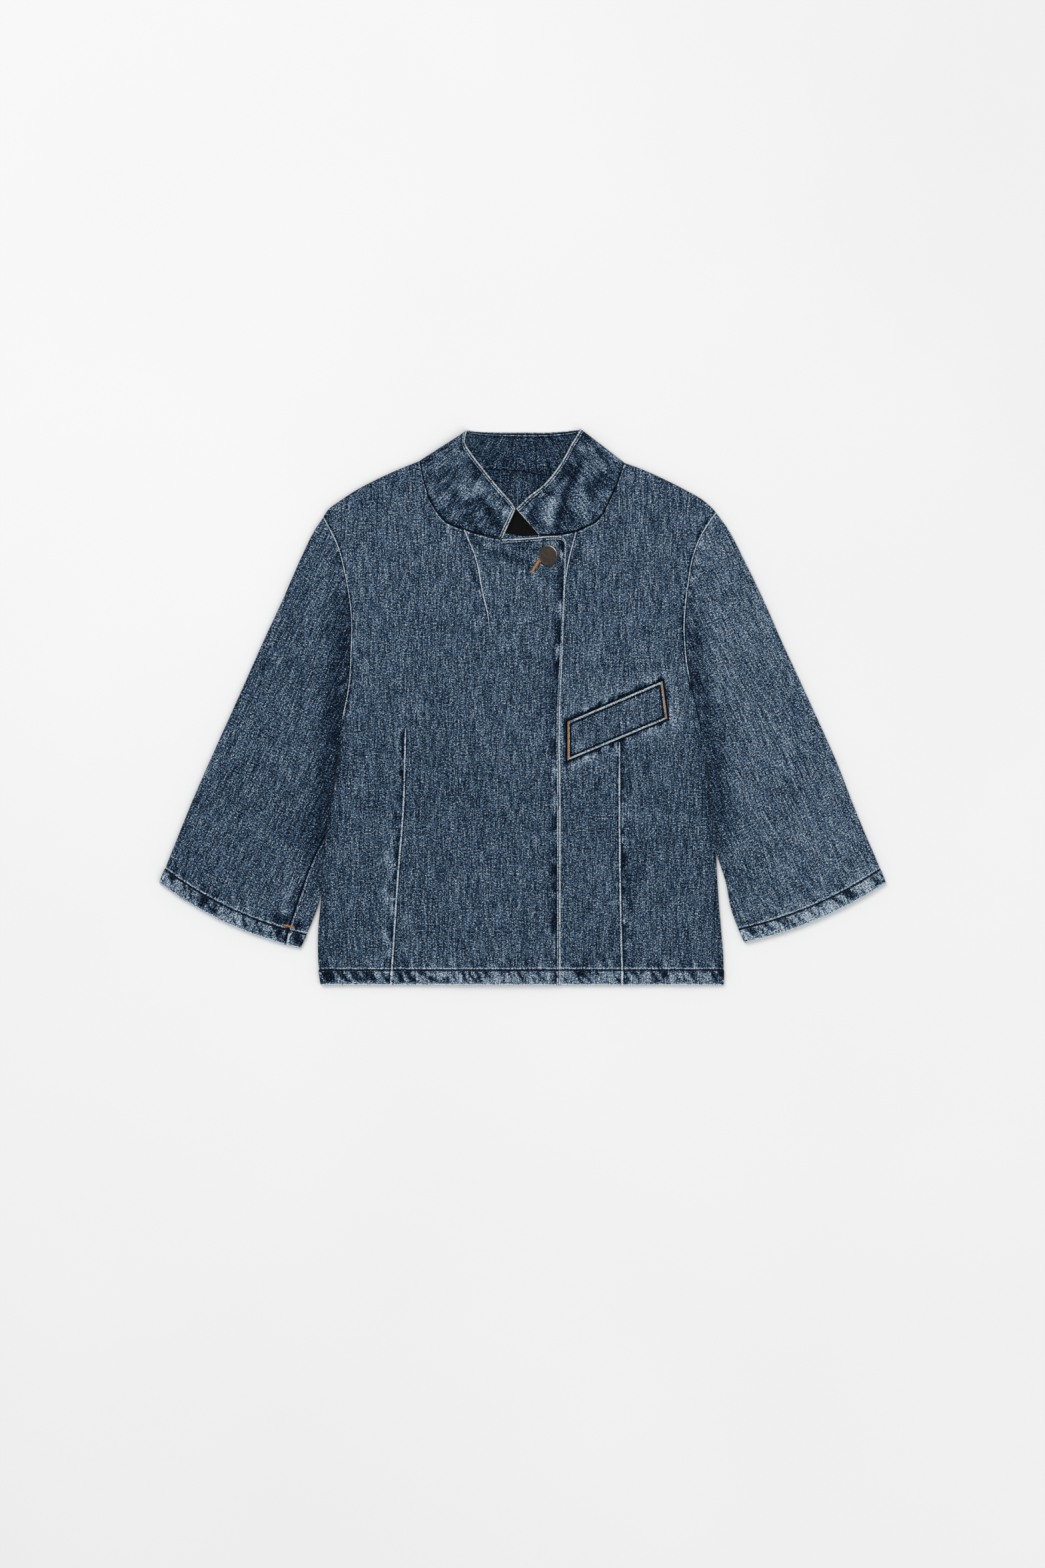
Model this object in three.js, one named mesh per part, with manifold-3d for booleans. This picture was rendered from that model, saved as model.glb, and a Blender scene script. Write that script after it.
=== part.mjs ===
// A short denim jacket with a stand collar, laid flat on its back, in millimetres.
// +X is the viewer's right, +Y points from hem to collar, +Z is up, off the surface.
// "right" and "left" are the wearer's, so the right half lies at negative X.
// The origin is on the surface, under the middle of the whole outline.
import * as THREE from "three";
import { mergeVertices } from "three/addons/utils/BufferGeometryUtils.js";
import Module from "manifold-3d";

// Cloth thickness, and the heights at which the middle of each layer lies
const WALL = 1.2;
const HALF_WALL = WALL / 2;
const SEAM_GAP = 0.3;
const BACK_LAYER = HALF_WALL;
const FRONT_LAYER = 4.8;
const FOLD_LEVEL = (BACK_LAYER + FRONT_LAYER) / 2;
const FOLD_RADIUS = (FRONT_LAYER - BACK_LAYER) / 2;

// The right front climbs onto the left one between LAP_START and LAP_END. The left
// front lies without folds as far as HIDDEN_END, and shows them in full at SHOWN_START.
const LAP_LIFT = 1.6;
const LAP_START = -92;
const LAP_END = -52;
const HIDDEN_END = 52;
const SHOWN_START = 64;

// Hems are turned up once, so the band is thicker, from LEFT_HEM_START on under the lap
const HEM_HEIGHT = -299.6;
const HEM_DEPTH = 16.6;
const HEM_LIFT = 0.8;
const HEM_STEP = 1.2;
const HEM_ROWS = 2;
const LEFT_HEM_START = 44;

// Rows up a panel, the length left for the rows beside its top edge, and the share of
// the height from which rows bend towards the shape of that edge
const BODY_ROWS = 18;
const TOP_STRETCH = 20;
const BEND_START = 0.5;

// A dart is sewn as a narrow ridge
const DART_HALF_WIDTH = 2.2;
const DART_RIDGE = 0.9;

// The edge of a folded piece: how far in and how high each line of points lies,
// in fold radii, from the seam at half height round to the flat of the layer
const ROLLED_EDGE = [
  { inset: 0, lift: 0.07 },
  { inset: 0, lift: 0.3 },
  { inset: 0.13, lift: 0.5 },
  { inset: 0.5, lift: 0.87 },
  { inset: 1, lift: 1 },
];
const EDGE_LINES = ROLLED_EDGE.length;
// The same lines where the edge is sewn flat to its neighbour, in millimetres in
const FLAT_EDGE = [0, 0.6, 1.3, 2.1, 3.2];
// Insets are measured along a row, so they grow where the row meets an edge at a slant
const SHOULDER_SLANT = 1.19;
const SLEEVE_SLANT = 1.12;
// The armhole seam turns into the side fold over this stretch below and above the underarm
const UNDERARM_BELOW = 22;
const UNDERARM_ABOVE = 6;

const xy = (rows) => rows.map(([x, y]) => new THREE.Vector3(x, y, 0));

// Outlines of the two halves; each row is x, y. side, waistDart, neckDart, collarEnd and
// frontEdge run up from the hem; shoulder, neck, neckToEnd and lapTop run in from the arm;
// sleeveOuter and sleeveInner run down to the cuff; collarTop runs down to the front end.
const HALVES = {
  right: {
    side: xy([
      [-217.4, HEM_HEIGHT], [-220.5, -275], [-220.6, -240], [-217.6, -207], [-216, -172],
      [-212, -134], [-204, -86], [-198.5, -45], [-194, -10], [-187.5, 26], [-185.5, 60],
      [-184.8, 87], [-186, 108], [-190.8, 138], [-199.4, 172], [-215.5, 204.5],
    ]),
    shoulder: xy([
      [-215.5, 204.5], [-210, 213.5], [-196, 224], [-179, 235], [-158, 246],
      [-134, 257], [-111.6, 266],
    ]),
    neck: xy([
      [-111.6, 266], [-108, 248], [-103, 231], [-96, 216], [-87, 203.5], [-76, 196.5],
      [-63, 192],
    ]),
    neckToEnd: xy([[-63, 192], [-47.5, 187], [-22, 181.5]]),
    lapTop: xy([[-22, 181.5], [-8, 182], [10, 183.2], [34, 185], [43.5, 183.6], [47, 178]]),
    waistDart: xy([
      [-142, HEM_HEIGHT], [-135, -191], [-128.5, -105], [-126, -21], [-120, 90], [-111.6, 266],
    ]),
    neckDart: xy([
      [-58, HEM_HEIGHT], [-48, -100], [-36, 89], [-43, 123.5], [-50, 159.5], [-63, 192],
    ]),
    collarEnd: xy([[-8, HEM_HEIGHT], [-8, -60], [-10, 90], [-22, 181.5]]),
    frontEdge: xy([[41, HEM_HEIGHT], [41, -85], [40.3, -28], [43.2, 59], [46.1, 138], [47, 178]]),
    sleeveOuter: xy([
      [-215.5, 204.5], [-224, 192], [-240, 159.5], [-259, 116], [-279, 73], [-308, 8],
      [-337, -56.5], [-356, -100], [-369, -132], [-382, -164.5], [-391.9, -189.5],
    ]),
    sleeveInner: xy([[-217.4, -200], [-220.5, -214], [-226, -229], [-233, -245], [-240, -259.8]]),
    collarTop: xy([
      [-60, 299], [-63, 291], [-61, 283], [-54, 272], [-40, 254], [-25, 235.5], [-12, 221],
      [-7.5, 213.5],
    ]),
    waistDartTop: -21,
    neckDartFoot: 89,
    underarm: -34,
    splitHeight: -205,
    cuffBow: 9,
  },
  left: {
    side: xy([
      [216.7, HEM_HEIGHT], [217, -272], [214.5, -240], [211.5, -204], [209.6, -170],
      [207.6, -130], [201.6, -93], [197, -50], [192, -24], [185, 8], [179, 38.5], [176, 65],
      [175, 86], [176.2, 108], [179, 131], [183.5, 158], [193, 184], [209.5, 209.5],
    ]),
    shoulder: xy([
      [209.5, 209.5], [206, 214], [194.4, 224.3], [175.7, 235], [154, 246], [129.6, 257],
      [110.2, 264],
    ]),
    neck: xy([
      [110.2, 264], [103.5, 244], [96, 227], [88, 211], [80, 201], [70, 195.5], [58, 190],
    ]),
    neckToEnd: xy([[58, 190], [41, 187], [18, 186]]),
    lapTop: xy([[18, 186], [0, 185], [-18, 188], [-42, 189]]),
    waistDart: xy([
      [108, HEM_HEIGHT], [106.5, -251], [104.8, -144], [104.7, -35], [107, 80], [110.2, 264],
    ]),
    neckDart: xy([[38, HEM_HEIGHT], [38, -100], [42, 60], [47.5, 145], [53, 171], [58, 190]]),
    collarEnd: xy([[0, HEM_HEIGHT], [0, -60], [5, 90], [18, 186]]),
    frontEdge: xy([[-42, HEM_HEIGHT], [-42, -85], [-42, 60], [-42, 189]]),
    sleeveOuter: xy([
      [209.5, 209.5], [222, 192], [239, 159.5], [260, 116], [279, 73], [309, 8],
      [338, -56.5], [355, -100], [368, -132], [382, -164.5], [391.9, -189.5],
    ]),
    sleeveInner: xy([
      [209.9, -160], [214, -172], [219.6, -190], [224, -213.5], [230.4, -233], [240, -254],
    ]),
    collarTop: xy([
      [63, 300.3], [58.5, 292], [54, 286], [45, 269], [34, 252.5], [22, 239], [8, 227.5],
      [-3.5, 216],
    ]),
    waistDartTop: -60,
    neckDartFoot: 165,
    underarm: -34,
    splitHeight: -160,
    cuffBow: 8,
  },
};

// Seam and free edge of the collar's back, from the right shoulder to the left one
const BACK_NECK = xy([
  [-111.6, 266], [-80, 260.5], [-41, 257], [-4, 255], [27, 250], [60, 251], [86, 256],
  [110.2, 264],
]);
const COLLAR_BACK_TOP = xy([
  [-60, 299], [-39, 297.4], [4, 297], [27, 297], [50, 298.6], [63, 300.3],
]);

// Cells across each strip of a panel
const FRONT_CELLS = { side: 4, neck: 5, neckToEnd: 3, lap: 4 };
const BACK_CELLS = { side: 4, neck: 8 };

// Sleeve: cells across a layer, the rows between the side seam and the cuff's hem, how
// fast its rows spread from the armhole's slant, and how far up the cuff's bow reaches
const SLEEVE_CELLS = 6;
const SLEEVE_FREE_SHARES = [0.34, 0.68];
const SLEEVE_FAN = 60;
const CUFF_BOW_REACH = 90;

// Collar: rows from seam to free edge, heights of the free edge from the shoulder fold to
// the front end, how its slope eases off, and its clearance from the panels
const COLLAR_ROWS = 6;
const COLLAR_EDGE_HEIGHTS = [8.4, 9, 9.6, 10.4, 11, 11, 10.4, 9.6, 9];
const COLLAR_EASE = 0.8;
const COLLAR_CLEARANCE = 0.6;
const COLLAR_FOLD_ANGLES = [90, 45, 0, -45, -90].map(THREE.MathUtils.degToRad);
// Least share of a step across the collar's fold that counts as a step away from it
const LEAST_SLANT = 0.35;
// Share of the collar's height by which its folds have risen from the seam
const COLLAR_FOLD_RISE = 0.7;

// Broad soft folds of the upper layer. Each is a straight ridge between two points;
// width is where it has sunk to about a third.
const FOLDS = [
  { x0: -236, y0: 60, x1: -206, y1: -60, width: 16, height: 2.2 },
  { x0: -262, y0: 30, x1: -230, y1: -120, width: 18, height: 1.6 },
  { x0: -300, y0: -60, x1: -262, y1: -180, width: 20, height: 1.8 },
  { x0: -330, y0: -110, x1: -300, y1: -200, width: 18, height: 1.4 },
  { x0: -246, y0: 128, x1: -214, y1: 96, width: 16, height: 1.2 },
  { x0: -172, y0: 40, x1: -186, y1: -90, width: 15, height: 1.8 },
  { x0: -150, y0: 150, x1: -168, y1: 60, width: 18, height: 1.2 },
  { x0: -172, y0: -150, x1: -168, y1: -270, width: 22, height: 1.4 },
  { x0: -92, y0: -150, x1: -100, y1: -270, width: 22, height: 1.2 },
  { x0: -98, y0: 120, x1: -84, y1: 20, width: 22, height: 1.1 },
  { x0: 228, y0: 70, x1: 204, y1: -60, width: 16, height: 2.2 },
  { x0: 258, y0: 20, x1: 226, y1: -110, width: 18, height: 1.6 },
  { x0: 300, y0: -70, x1: 264, y1: -180, width: 20, height: 1.8 },
  { x0: 334, y0: -110, x1: 306, y1: -190, width: 18, height: 1.4 },
  { x0: 240, y0: 132, x1: 208, y1: 100, width: 16, height: 1.2 },
  { x0: 164, y0: 60, x1: 178, y1: -80, width: 15, height: 1.8 },
  { x0: 132, y0: 150, x1: 150, y1: 70, width: 18, height: 1.2 },
  { x0: 150, y0: -120, x1: 158, y1: -260, width: 22, height: 1.4 },
  { x0: 78, y0: -130, x1: 80, y1: -260, width: 16, height: 1.1 },
  { x0: 96, y0: 130, x1: 84, y1: 50, width: 20, height: 1.1 },
];

// Folds of the collar; a negative height is a hollow
const COLLAR_FOLDS = [
  { x0: 18, y0: 191, x1: 40, y1: 227, width: 9, height: 3 },
  { x0: 49, y0: 246, x1: 62, y1: 270, width: 8, height: 2.6 },
  { x0: 30, y0: 194, x1: 58, y1: 256, width: 7, height: -1.8 },
  { x0: 84, y0: 216, x1: 74, y1: 262, width: 9, height: 1.8 },
  { x0: -38, y0: 196, x1: -50, y1: 236, width: 7, height: -1.8 },
  { x0: -56, y0: 206, x1: -66, y1: 240, width: 9, height: 2.2 },
  { x0: -88, y0: 262, x1: -84, y1: 244, width: 7, height: -1.4 },
  { x0: -24, y0: 196, x1: -30, y1: 226, width: 8, height: 1.8 },
];

// Pocket welt on the left front: its corners, wall and cells. The spare clearance lets
// it pass over the top of the waist dart.
const WELT = {
  lowerInner: [48.7, -57], lowerOuter: [156, -12], upperInner: [48.7, -15.5],
  upperOuter: [150.7, 28.4], wall: 1.4, cellsAlong: 8, cellsAcross: 3, spare: 0.25,
};

// Facing along the back neck, as shares of the neck seam and heights, and the label on it
const FACING = {
  from: 0.11, to: 0.89, foot: 170, taper: 0.25, middle: 2.1, cellsAlong: 10, cellsDown: 3,
};
const LABEL = { x: -2, y: 196, width: 56, height: 36, underside: 3, wall: 0.9 };

// Button: its place, its cap's profile and tilt, and the shank that holds it
const BUTTON = {
  x: 28.3, y: 163.3, radius: 11, tilt: 0.5, tiltHeading: 2.3, middle: 13.8, sides: 28,
  capFoot: -1, rimFoot: -0.4, rimTop: 2.2, dishTop: 1.5, dome: 3,
  shankRadius: 2.6, shankSides: 16,
};
// Eyelet buttonhole under it; the slit runs down towards the viewer's left
const BUTTONHOLE = { eyeRadius: 3.4, sides: 16, length: 20, slit: 1.2, heading: -2.4, depth: 8 };

const MATERIALS = {
  denim: new THREE.MeshStandardMaterial({ color: 0x3f5266, roughness: 0.95, metalness: 0 }),
  denimInside: new THREE.MeshStandardMaterial({ color: 0x2b3c50, roughness: 0.95, metalness: 0 }),
  label: new THREE.MeshStandardMaterial({ color: 0x16181b, roughness: 0.8, metalness: 0 }),
  button: new THREE.MeshStandardMaterial({ color: 0x4a423c, roughness: 0.4, metalness: 1 }),
};

const wasm = await Module();
wasm.setup();

const { lerp, clamp, smoothstep } = THREE.MathUtils;

function curve(points) {
  const made = new THREE.CatmullRomCurve3(points, false, "centripetal");
  made.arcLengthDivisions = 400;
  return made;
}

const atDistance = (line, distance) => line.getPointAt(clamp(distance / line.getLength(), 0, 1));

// Points at equal steps along a curve, both ends included
const evenly = (line, cells) =>
  Array.from({ length: cells + 1 }, (_, i) => line.getPointAt(i / cells));

const movedToward = (from, to, distance) =>
  from.clone().addScaledVector(to.clone().sub(from).normalize(), distance);

// Height that a list of folds adds at a point: each falls off as a bell from its line
function foldHeight(folds, x, y) {
  let height = 0;
  for (const fold of folds) {
    const dx = fold.x1 - fold.x0;
    const dy = fold.y1 - fold.y0;
    const along = clamp(((x - fold.x0) * dx + (y - fold.y0) * dy) / (dx * dx + dy * dy), 0, 1);
    const distance = Math.hypot(x - fold.x0 - along * dx, y - fold.y0 - along * dy);
    height += fold.height * Math.exp(-((distance / fold.width) ** 2));
  }
  return height;
}

// Height of the middle of the upper layer in one half of the jacket
function frontHeight(name, x, y) {
  const lap = name === "right" ? LAP_LIFT * smoothstep(x, LAP_START, LAP_END) : 0;
  const shown = name === "left" ? smoothstep(x, HIDDEN_END, SHOWN_START) : 1;
  return FRONT_LAYER + lap + shown * foldHeight(FOLDS, x, y);
}

// Closed wall round a grid of points in the middle of the cloth. The grid's normals point
// to the outside; outside and inside give the thickness each way at row j, column i.
function wallGeometry(grid, outside = () => HALF_WALL, inside = () => HALF_WALL) {
  const rows = grid.length;
  const columns = grid[0].length;
  const positions = [];
  for (const side of [1, -1]) {
    for (let j = 0; j < rows; j++) {
      for (let i = 0; i < columns; i++) {
        const across = grid[j][Math.min(i + 1, columns - 1)].clone().sub(grid[j][Math.max(i - 1, 0)]);
        const up = grid[Math.min(j + 1, rows - 1)][i].clone().sub(grid[Math.max(j - 1, 0)][i]);
        const reach = side > 0 ? outside(j, i) : -inside(j, i);
        const point = grid[j][i].clone().addScaledVector(across.cross(up).normalize(), reach);
        positions.push(point.x, point.y, point.z);
      }
    }
  }
  const index = [];
  const outer = (j, i) => j * columns + i;
  const inner = (j, i) => (rows + j) * columns + i;
  const quad = (a, b, c, d) => index.push(a, b, c, a, c, d);
  const lastRow = rows - 1;
  const lastColumn = columns - 1;
  for (let j = 0; j < lastRow; j++) {
    for (let i = 0; i < lastColumn; i++) {
      quad(outer(j, i), outer(j, i + 1), outer(j + 1, i + 1), outer(j + 1, i));
      quad(inner(j, i), inner(j + 1, i), inner(j + 1, i + 1), inner(j, i + 1));
    }
    quad(outer(j, 0), outer(j + 1, 0), inner(j + 1, 0), inner(j, 0));
    quad(outer(j + 1, lastColumn), outer(j, lastColumn), inner(j, lastColumn), inner(j + 1, lastColumn));
  }
  for (let i = 0; i < lastColumn; i++) {
    quad(outer(0, i + 1), outer(0, i), inner(0, i), inner(0, i + 1));
    quad(outer(lastRow, i), outer(lastRow, i + 1), inner(lastRow, i + 1), inner(lastRow, i));
  }
  const geometry = new THREE.BufferGeometry();
  geometry.setAttribute("position", new THREE.Float32BufferAttribute(positions, 3));
  geometry.setIndex(index);
  return geometry;
}

// The lines of points beside an edge. rolled is 1 where the edge is a fold, 0 where it is
// a flat seam; each entry gives the inset from the outline and the share of the lift.
function edgeLines(rolled, slant = 1, clearance = SEAM_GAP / 2) {
  return ROLLED_EDGE.map(({ inset, lift }, k) => ({
    inset: slant * (clearance + lerp(FLAT_EDGE[k], HALF_WALL + inset * FOLD_RADIUS, rolled)),
    lift: lerp(1, lift, rolled),
  }));
}

const sideRoll = (half, y) =>
  1 - smoothstep(y, half.underarm - UNDERARM_BELOW, half.underarm + UNDERARM_ABOVE);

// Distances up a guide line: the hem's edge, the two sides of its stitched step, even
// rows, and the top edge
function rowDistances(length) {
  const start = HEM_DEPTH + HEM_STEP / 2;
  const even = Array.from({ length: BODY_ROWS }, (_, j) =>
    lerp(start, length - TOP_STRETCH, j / (BODY_ROWS - 1)));
  return [0, HEM_DEPTH - HEM_STEP / 2, ...even, length];
}

// A row of plan points with its first point drawn out into the lines beside that edge
function withEdge(row, lines) {
  const [edge, next] = row;
  const beside = lines.map(({ inset, lift }) => ({ p: movedToward(edge.p, next.p, inset), lift }));
  return [...beside, ...row.slice(1)];
}

const reversed = (row) => row.slice().reverse();

// Plan of a panel: guide lines run from hem to top, and between two of them the top edge
// follows its own curve. Rows are listed from the hem, each point with its share of lift.
function panelPlan({ guides, tops, cells, rollAtSide, rolledTop, bothSides }) {
  const guideRows = guides.map((line) => rowDistances(line.getLength()).map((d) => atDistance(line, d)));
  const count = guideRows[0].length;
  const topPoints = tops.map((top, k) => evenly(top, cells[k]));
  const rows = Array.from({ length: count }, (_, j) => {
    const bend = smoothstep(j / (count - 1), BEND_START, 1);
    const row = [];
    topPoints.forEach((points, k) => {
      for (let i = k ? 1 : 0; i <= cells[k]; i++) {
        const share = i / cells[k];
        const chord = points[0].clone().lerp(points[cells[k]], share);
        const p = guideRows[k][j].clone().lerp(guideRows[k + 1][j], share);
        row.push({ p: p.addScaledVector(points[i].clone().sub(chord), bend), lift: 1 });
      }
    });
    const widened = withEdge(row, edgeLines(rollAtSide(row[0].p)));
    if (!bothSides) return widened;
    return reversed(withEdge(reversed(widened), edgeLines(rollAtSide(row[row.length - 1].p))));
  });
  const [top, below] = [rows[count - 1], rows[count - 2]];
  const beside = top.map(({ p, lift }, i) => {
    const lines = rolledTop(p) ? edgeLines(1, SHOULDER_SLANT, 0) : edgeLines(0);
    return lines.map((line) => ({ p: movedToward(p, below[i].p, line.inset), lift: Math.min(lift, line.lift) }));
  });
  const topRows = Array.from({ length: EDGE_LINES }, (_, k) => beside.map((lines) => lines[EDGE_LINES - 1 - k]));
  return [...rows.slice(0, count - 1), ...topRows];
}

// Extra lines of points on both sides of column i, so that a dart's ridge can be narrow
function withDartColumns(plan, i) {
  return plan.map((row) => {
    const beside = (neighbour) => ({
      p: movedToward(row[i].p, row[neighbour].p, DART_HALF_WIDTH),
      lift: row[i].lift,
    });
    return [...row.slice(0, i), beside(i - 1), row[i], beside(i + 1), ...row.slice(i + 1)];
  });
}

// The hem band is thicker outside, but not where lapped says that it lies under the lap
const hemOutside = (lapped) => (j, i) => (j < HEM_ROWS && !lapped[i] ? HALF_WALL + HEM_LIFT : HALF_WALL);

function frontGeometry(name) {
  const half = HALVES[name];
  const plan = panelPlan({
    guides: [half.side, half.waistDart, half.neckDart, half.collarEnd, half.frontEdge].map(curve),
    tops: [half.shoulder, half.neck, half.neckToEnd, half.lapTop].map(curve),
    cells: [FRONT_CELLS.side, FRONT_CELLS.neck, FRONT_CELLS.neckToEnd, FRONT_CELLS.lap],
    rollAtSide: (p) => sideRoll(half, p.y),
    rolledTop: (p) => Math.abs(p.x) > Math.abs(half.neck[0].x) - 1,
    bothSides: false,
  });
  const waist = EDGE_LINES - 1 + FRONT_CELLS.side;
  const neck = waist + FRONT_CELLS.neck;
  const widened = withDartColumns(withDartColumns(plan, neck), waist);
  const [waistRidge, neckRidge] = [waist + 1, neck + 3];
  const grid = widened.map((row) => row.map(({ p, lift }, i) => {
    const onWaistDart = i === waistRidge && p.y < half.waistDartTop;
    const onNeckDart = i === neckRidge && p.y > half.neckDartFoot;
    const height = frontHeight(name, p.x, p.y) + (onWaistDart || onNeckDart ? DART_RIDGE : 0);
    return new THREE.Vector3(p.x, p.y, lerp(FOLD_LEVEL, height, lift));
  }));
  const faced = name === "left" ? grid.map(reversed) : grid;
  const lapped = faced[0].map((p) => name === "left" && p.x < LEFT_HEM_START);
  return wallGeometry(faced, hemOutside(lapped));
}

function backGeometry() {
  const { right, left } = HALVES;
  const plan = panelPlan({
    guides: [right.side, right.waistDart, left.waistDart, left.side].map(curve),
    tops: [right.shoulder, BACK_NECK, reversed(left.shoulder)].map(curve),
    cells: [BACK_CELLS.side, BACK_CELLS.neck, BACK_CELLS.side],
    rollAtSide: (p) => sideRoll(p.x < 0 ? right : left, p.y),
    rolledTop: (p) => p.x < right.neck[0].x + 1 || p.x > left.neck[0].x - 1,
    bothSides: true,
  });
  const grid = plan.map((row) => row.map(({ p, lift }) =>
    new THREE.Vector3(p.x, p.y, lerp(FOLD_LEVEL, BACK_LAYER, lift))));
  return wallGeometry(grid, hemOutside([]));
}

// Seam line of a sleeve from the shoulder to the cuff: shared with the side of the body
// down to the split, and the sleeve's own inner fold below it
function sleeveSeam(half) {
  const side = curve(half.side);
  const shared = rowDistances(side.getLength())
    .slice(0, -1)
    .map((distance) => atDistance(side, distance))
    .filter((p) => p.y > half.splitHeight);
  const fold = curve(half.sleeveInner);
  const length = fold.getLength();
  const hem = length - HEM_DEPTH - HEM_STEP / 2;
  const own = [...SLEEVE_FREE_SHARES.map((share) => share * hem), hem, hem + HEM_STEP, length];
  return [...reversed(shared), ...own.map((distance) => atDistance(fold, distance))];
}

// Sleeve: one sheet wrapped round the outer fold, from the underarm seam on the lower
// layer to the same seam on the upper one. Its rows run across the arm.
function sleeveGeometry(name) {
  const half = HALVES[name];
  const outer = curve(half.sleeveOuter);
  const shoulder = half.sleeveOuter[0];
  const axis = half.sleeveOuter[half.sleeveOuter.length - 1].clone().sub(shoulder).normalize();
  const alongAxis = (p) => p.clone().sub(shoulder).dot(axis);
  const seamPoints = sleeveSeam(half);
  const first = alongAxis(seamPoints[0]);
  const cuff = alongAxis(seamPoints[seamPoints.length - 1]);
  const foldFlat = HALF_WALL + FOLD_RADIUS;
  const grid = seamPoints.map((onSeam, j) => {
    const apart = j ? 0 : SEAM_GAP;
    const seam = onSeam.clone().addScaledVector(axis, apart);
    const reach = alongAxis(seam) - first * Math.exp((first - alongAxis(seam)) / SLEEVE_FAN);
    const start = outer.getPointAt(clamp(reach / cuff, 0, 1)).addScaledVector(axis, apart);
    const width = start.distanceTo(seam);
    const seamLines = edgeLines(sideRoll(half, seam.y), SLEEVE_SLANT);
    const flatEnd = width - seamLines[EDGE_LINES - 1].inset;
    const upper = seamLines.map(({ inset, lift }) => ({ across: width - inset, lift }));
    for (let i = SLEEVE_CELLS - 1; i > 0; i--)
      upper.push({ across: lerp(foldFlat, flatEnd, i / SLEEVE_CELLS), lift: 1 });
    for (const { inset, lift } of reversed(ROLLED_EDGE.slice(2)))
      upper.push({ across: HALF_WALL + inset * FOLD_RADIUS, lift });
    const lower = reversed(upper).map(({ across, lift }) => ({ across, lift: -lift }));
    const bow = half.cuffBow * smoothstep(alongAxis(seam), cuff - CUFF_BOW_REACH, cuff);
    return [...upper, { across: HALF_WALL, lift: 0 }, ...lower].map(({ across, lift }) => {
      const share = across / width;
      const p = start.clone().lerp(seam, share).addScaledVector(axis, 4 * bow * share * (1 - share));
      const layer = lift > 0 ? frontHeight(name, p.x, p.y) : BACK_LAYER;
      return p.setZ(lerp(FOLD_LEVEL, layer, Math.abs(lift)));
    });
  });
  const fromCuff = reversed(name === "right" ? grid.map(reversed) : grid);
  const inHem = (j, upperLayer) => (i) => j < HEM_ROWS && fromCuff[j][i].z > FOLD_LEVEL === upperLayer;
  const thickness = (upperLayer) => (j, i) => HALF_WALL + (inHem(j, upperLayer)(i) ? HEM_LIFT : 0);
  return wallGeometry(fromCuff, thickness(true), thickness(false));
}

// Stations of one front of the collar, from the shoulder fold to its front end. Each has
// its place on the neck seam and on the free edge, and the heights there.
function collarFront(name) {
  const half = HALVES[name];
  const seam = [
    ...evenly(curve(half.neck), FRONT_CELLS.neck),
    ...evenly(curve(half.neckToEnd), FRONT_CELLS.neckToEnd).slice(1),
  ];
  const edge = evenly(curve(half.collarTop), seam.length - 1);
  return seam.map((low, k) => ({
    low,
    high: edge[k],
    lowHeight: frontHeight(name, low.x, low.y),
    highHeight: COLLAR_EDGE_HEIGHTS[k],
  }));
}

// Share of a station's length at t, from just clear of the panel to the free edge
const collarShare = ({ low, high }, t) => lerp(COLLAR_CLEARANCE / low.distanceTo(high), 1, t);

function collarFrontPoint(station, t) {
  const share = collarShare(station, t);
  const p = station.low.clone().lerp(station.high, share);
  const risen = Math.sin((Math.PI / 2) * Math.min(1, share / COLLAR_FOLD_RISE));
  const height = lerp(station.lowHeight, station.highHeight, share ** COLLAR_EASE);
  return p.setZ(height + risen * foldHeight(COLLAR_FOLDS, p.x, p.y));
}

const collarBackPoint = (station, t) =>
  station.low.clone().lerp(station.high, collarShare(station, t)).setZ(BACK_LAYER);

// The fold at a shoulder turns round the line from seam to free edge. Its points move in
// along the lines that lead to the next station of the front or of the back.
function collarFoldPoint(station, next, inward, angle, t) {
  const share = collarShare(station, t);
  const top = lerp(FRONT_LAYER, station.highHeight, share ** COLLAR_EASE);
  const radius = (top - BACK_LAYER) / 2;
  const alongSeam = next.low.clone().sub(station.low).normalize();
  const alongEdge = next.high.clone().sub(station.high).normalize();
  const along = alongSeam.lerp(alongEdge, share).normalize();
  const inset = (HALF_WALL + radius * (1 - Math.cos(angle))) / Math.max(along.dot(inward), LEAST_SLANT);
  const p = station.low.clone().lerp(station.high, share).addScaledVector(along, inset);
  return p.setZ(BACK_LAYER + radius * (1 + Math.sin(angle)));
}

// Collar: a band from the right front end, round the right shoulder, along the back, and
// round the left shoulder to the left front end
function collarGeometry() {
  const right = collarFront("right");
  const left = collarFront("left");
  const backEdge = evenly(curve(COLLAR_BACK_TOP), BACK_CELLS.neck);
  const back = evenly(curve(BACK_NECK), BACK_CELLS.neck).map((low, k) => ({ low, high: backEdge[k] }));
  const fold = (front, nextBack, turn) => {
    const rise = front[0].high.clone().sub(front[0].low).normalize();
    const inward = new THREE.Vector3(turn * rise.y, -turn * rise.x, 0);
    return COLLAR_FOLD_ANGLES.map((angle) => (t) =>
      collarFoldPoint(front[0], angle > 0 ? front[1] : nextBack, inward, angle, t));
  };
  const lines = [
    ...reversed(right.slice(1)).map((station) => (t) => collarFrontPoint(station, t)),
    ...fold(right, back[1], 1),
    ...back.slice(1, -1).map((station) => (t) => collarBackPoint(station, t)),
    ...reversed(fold(left, back[BACK_CELLS.neck - 1], -1)),
    ...left.slice(1).map((station) => (t) => collarFrontPoint(station, t)),
  ];
  const grid = Array.from({ length: COLLAR_ROWS + 1 }, (_, j) => lines.map((line) => line(j / COLLAR_ROWS)));
  return wallGeometry(grid.map(reversed));
}

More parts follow.
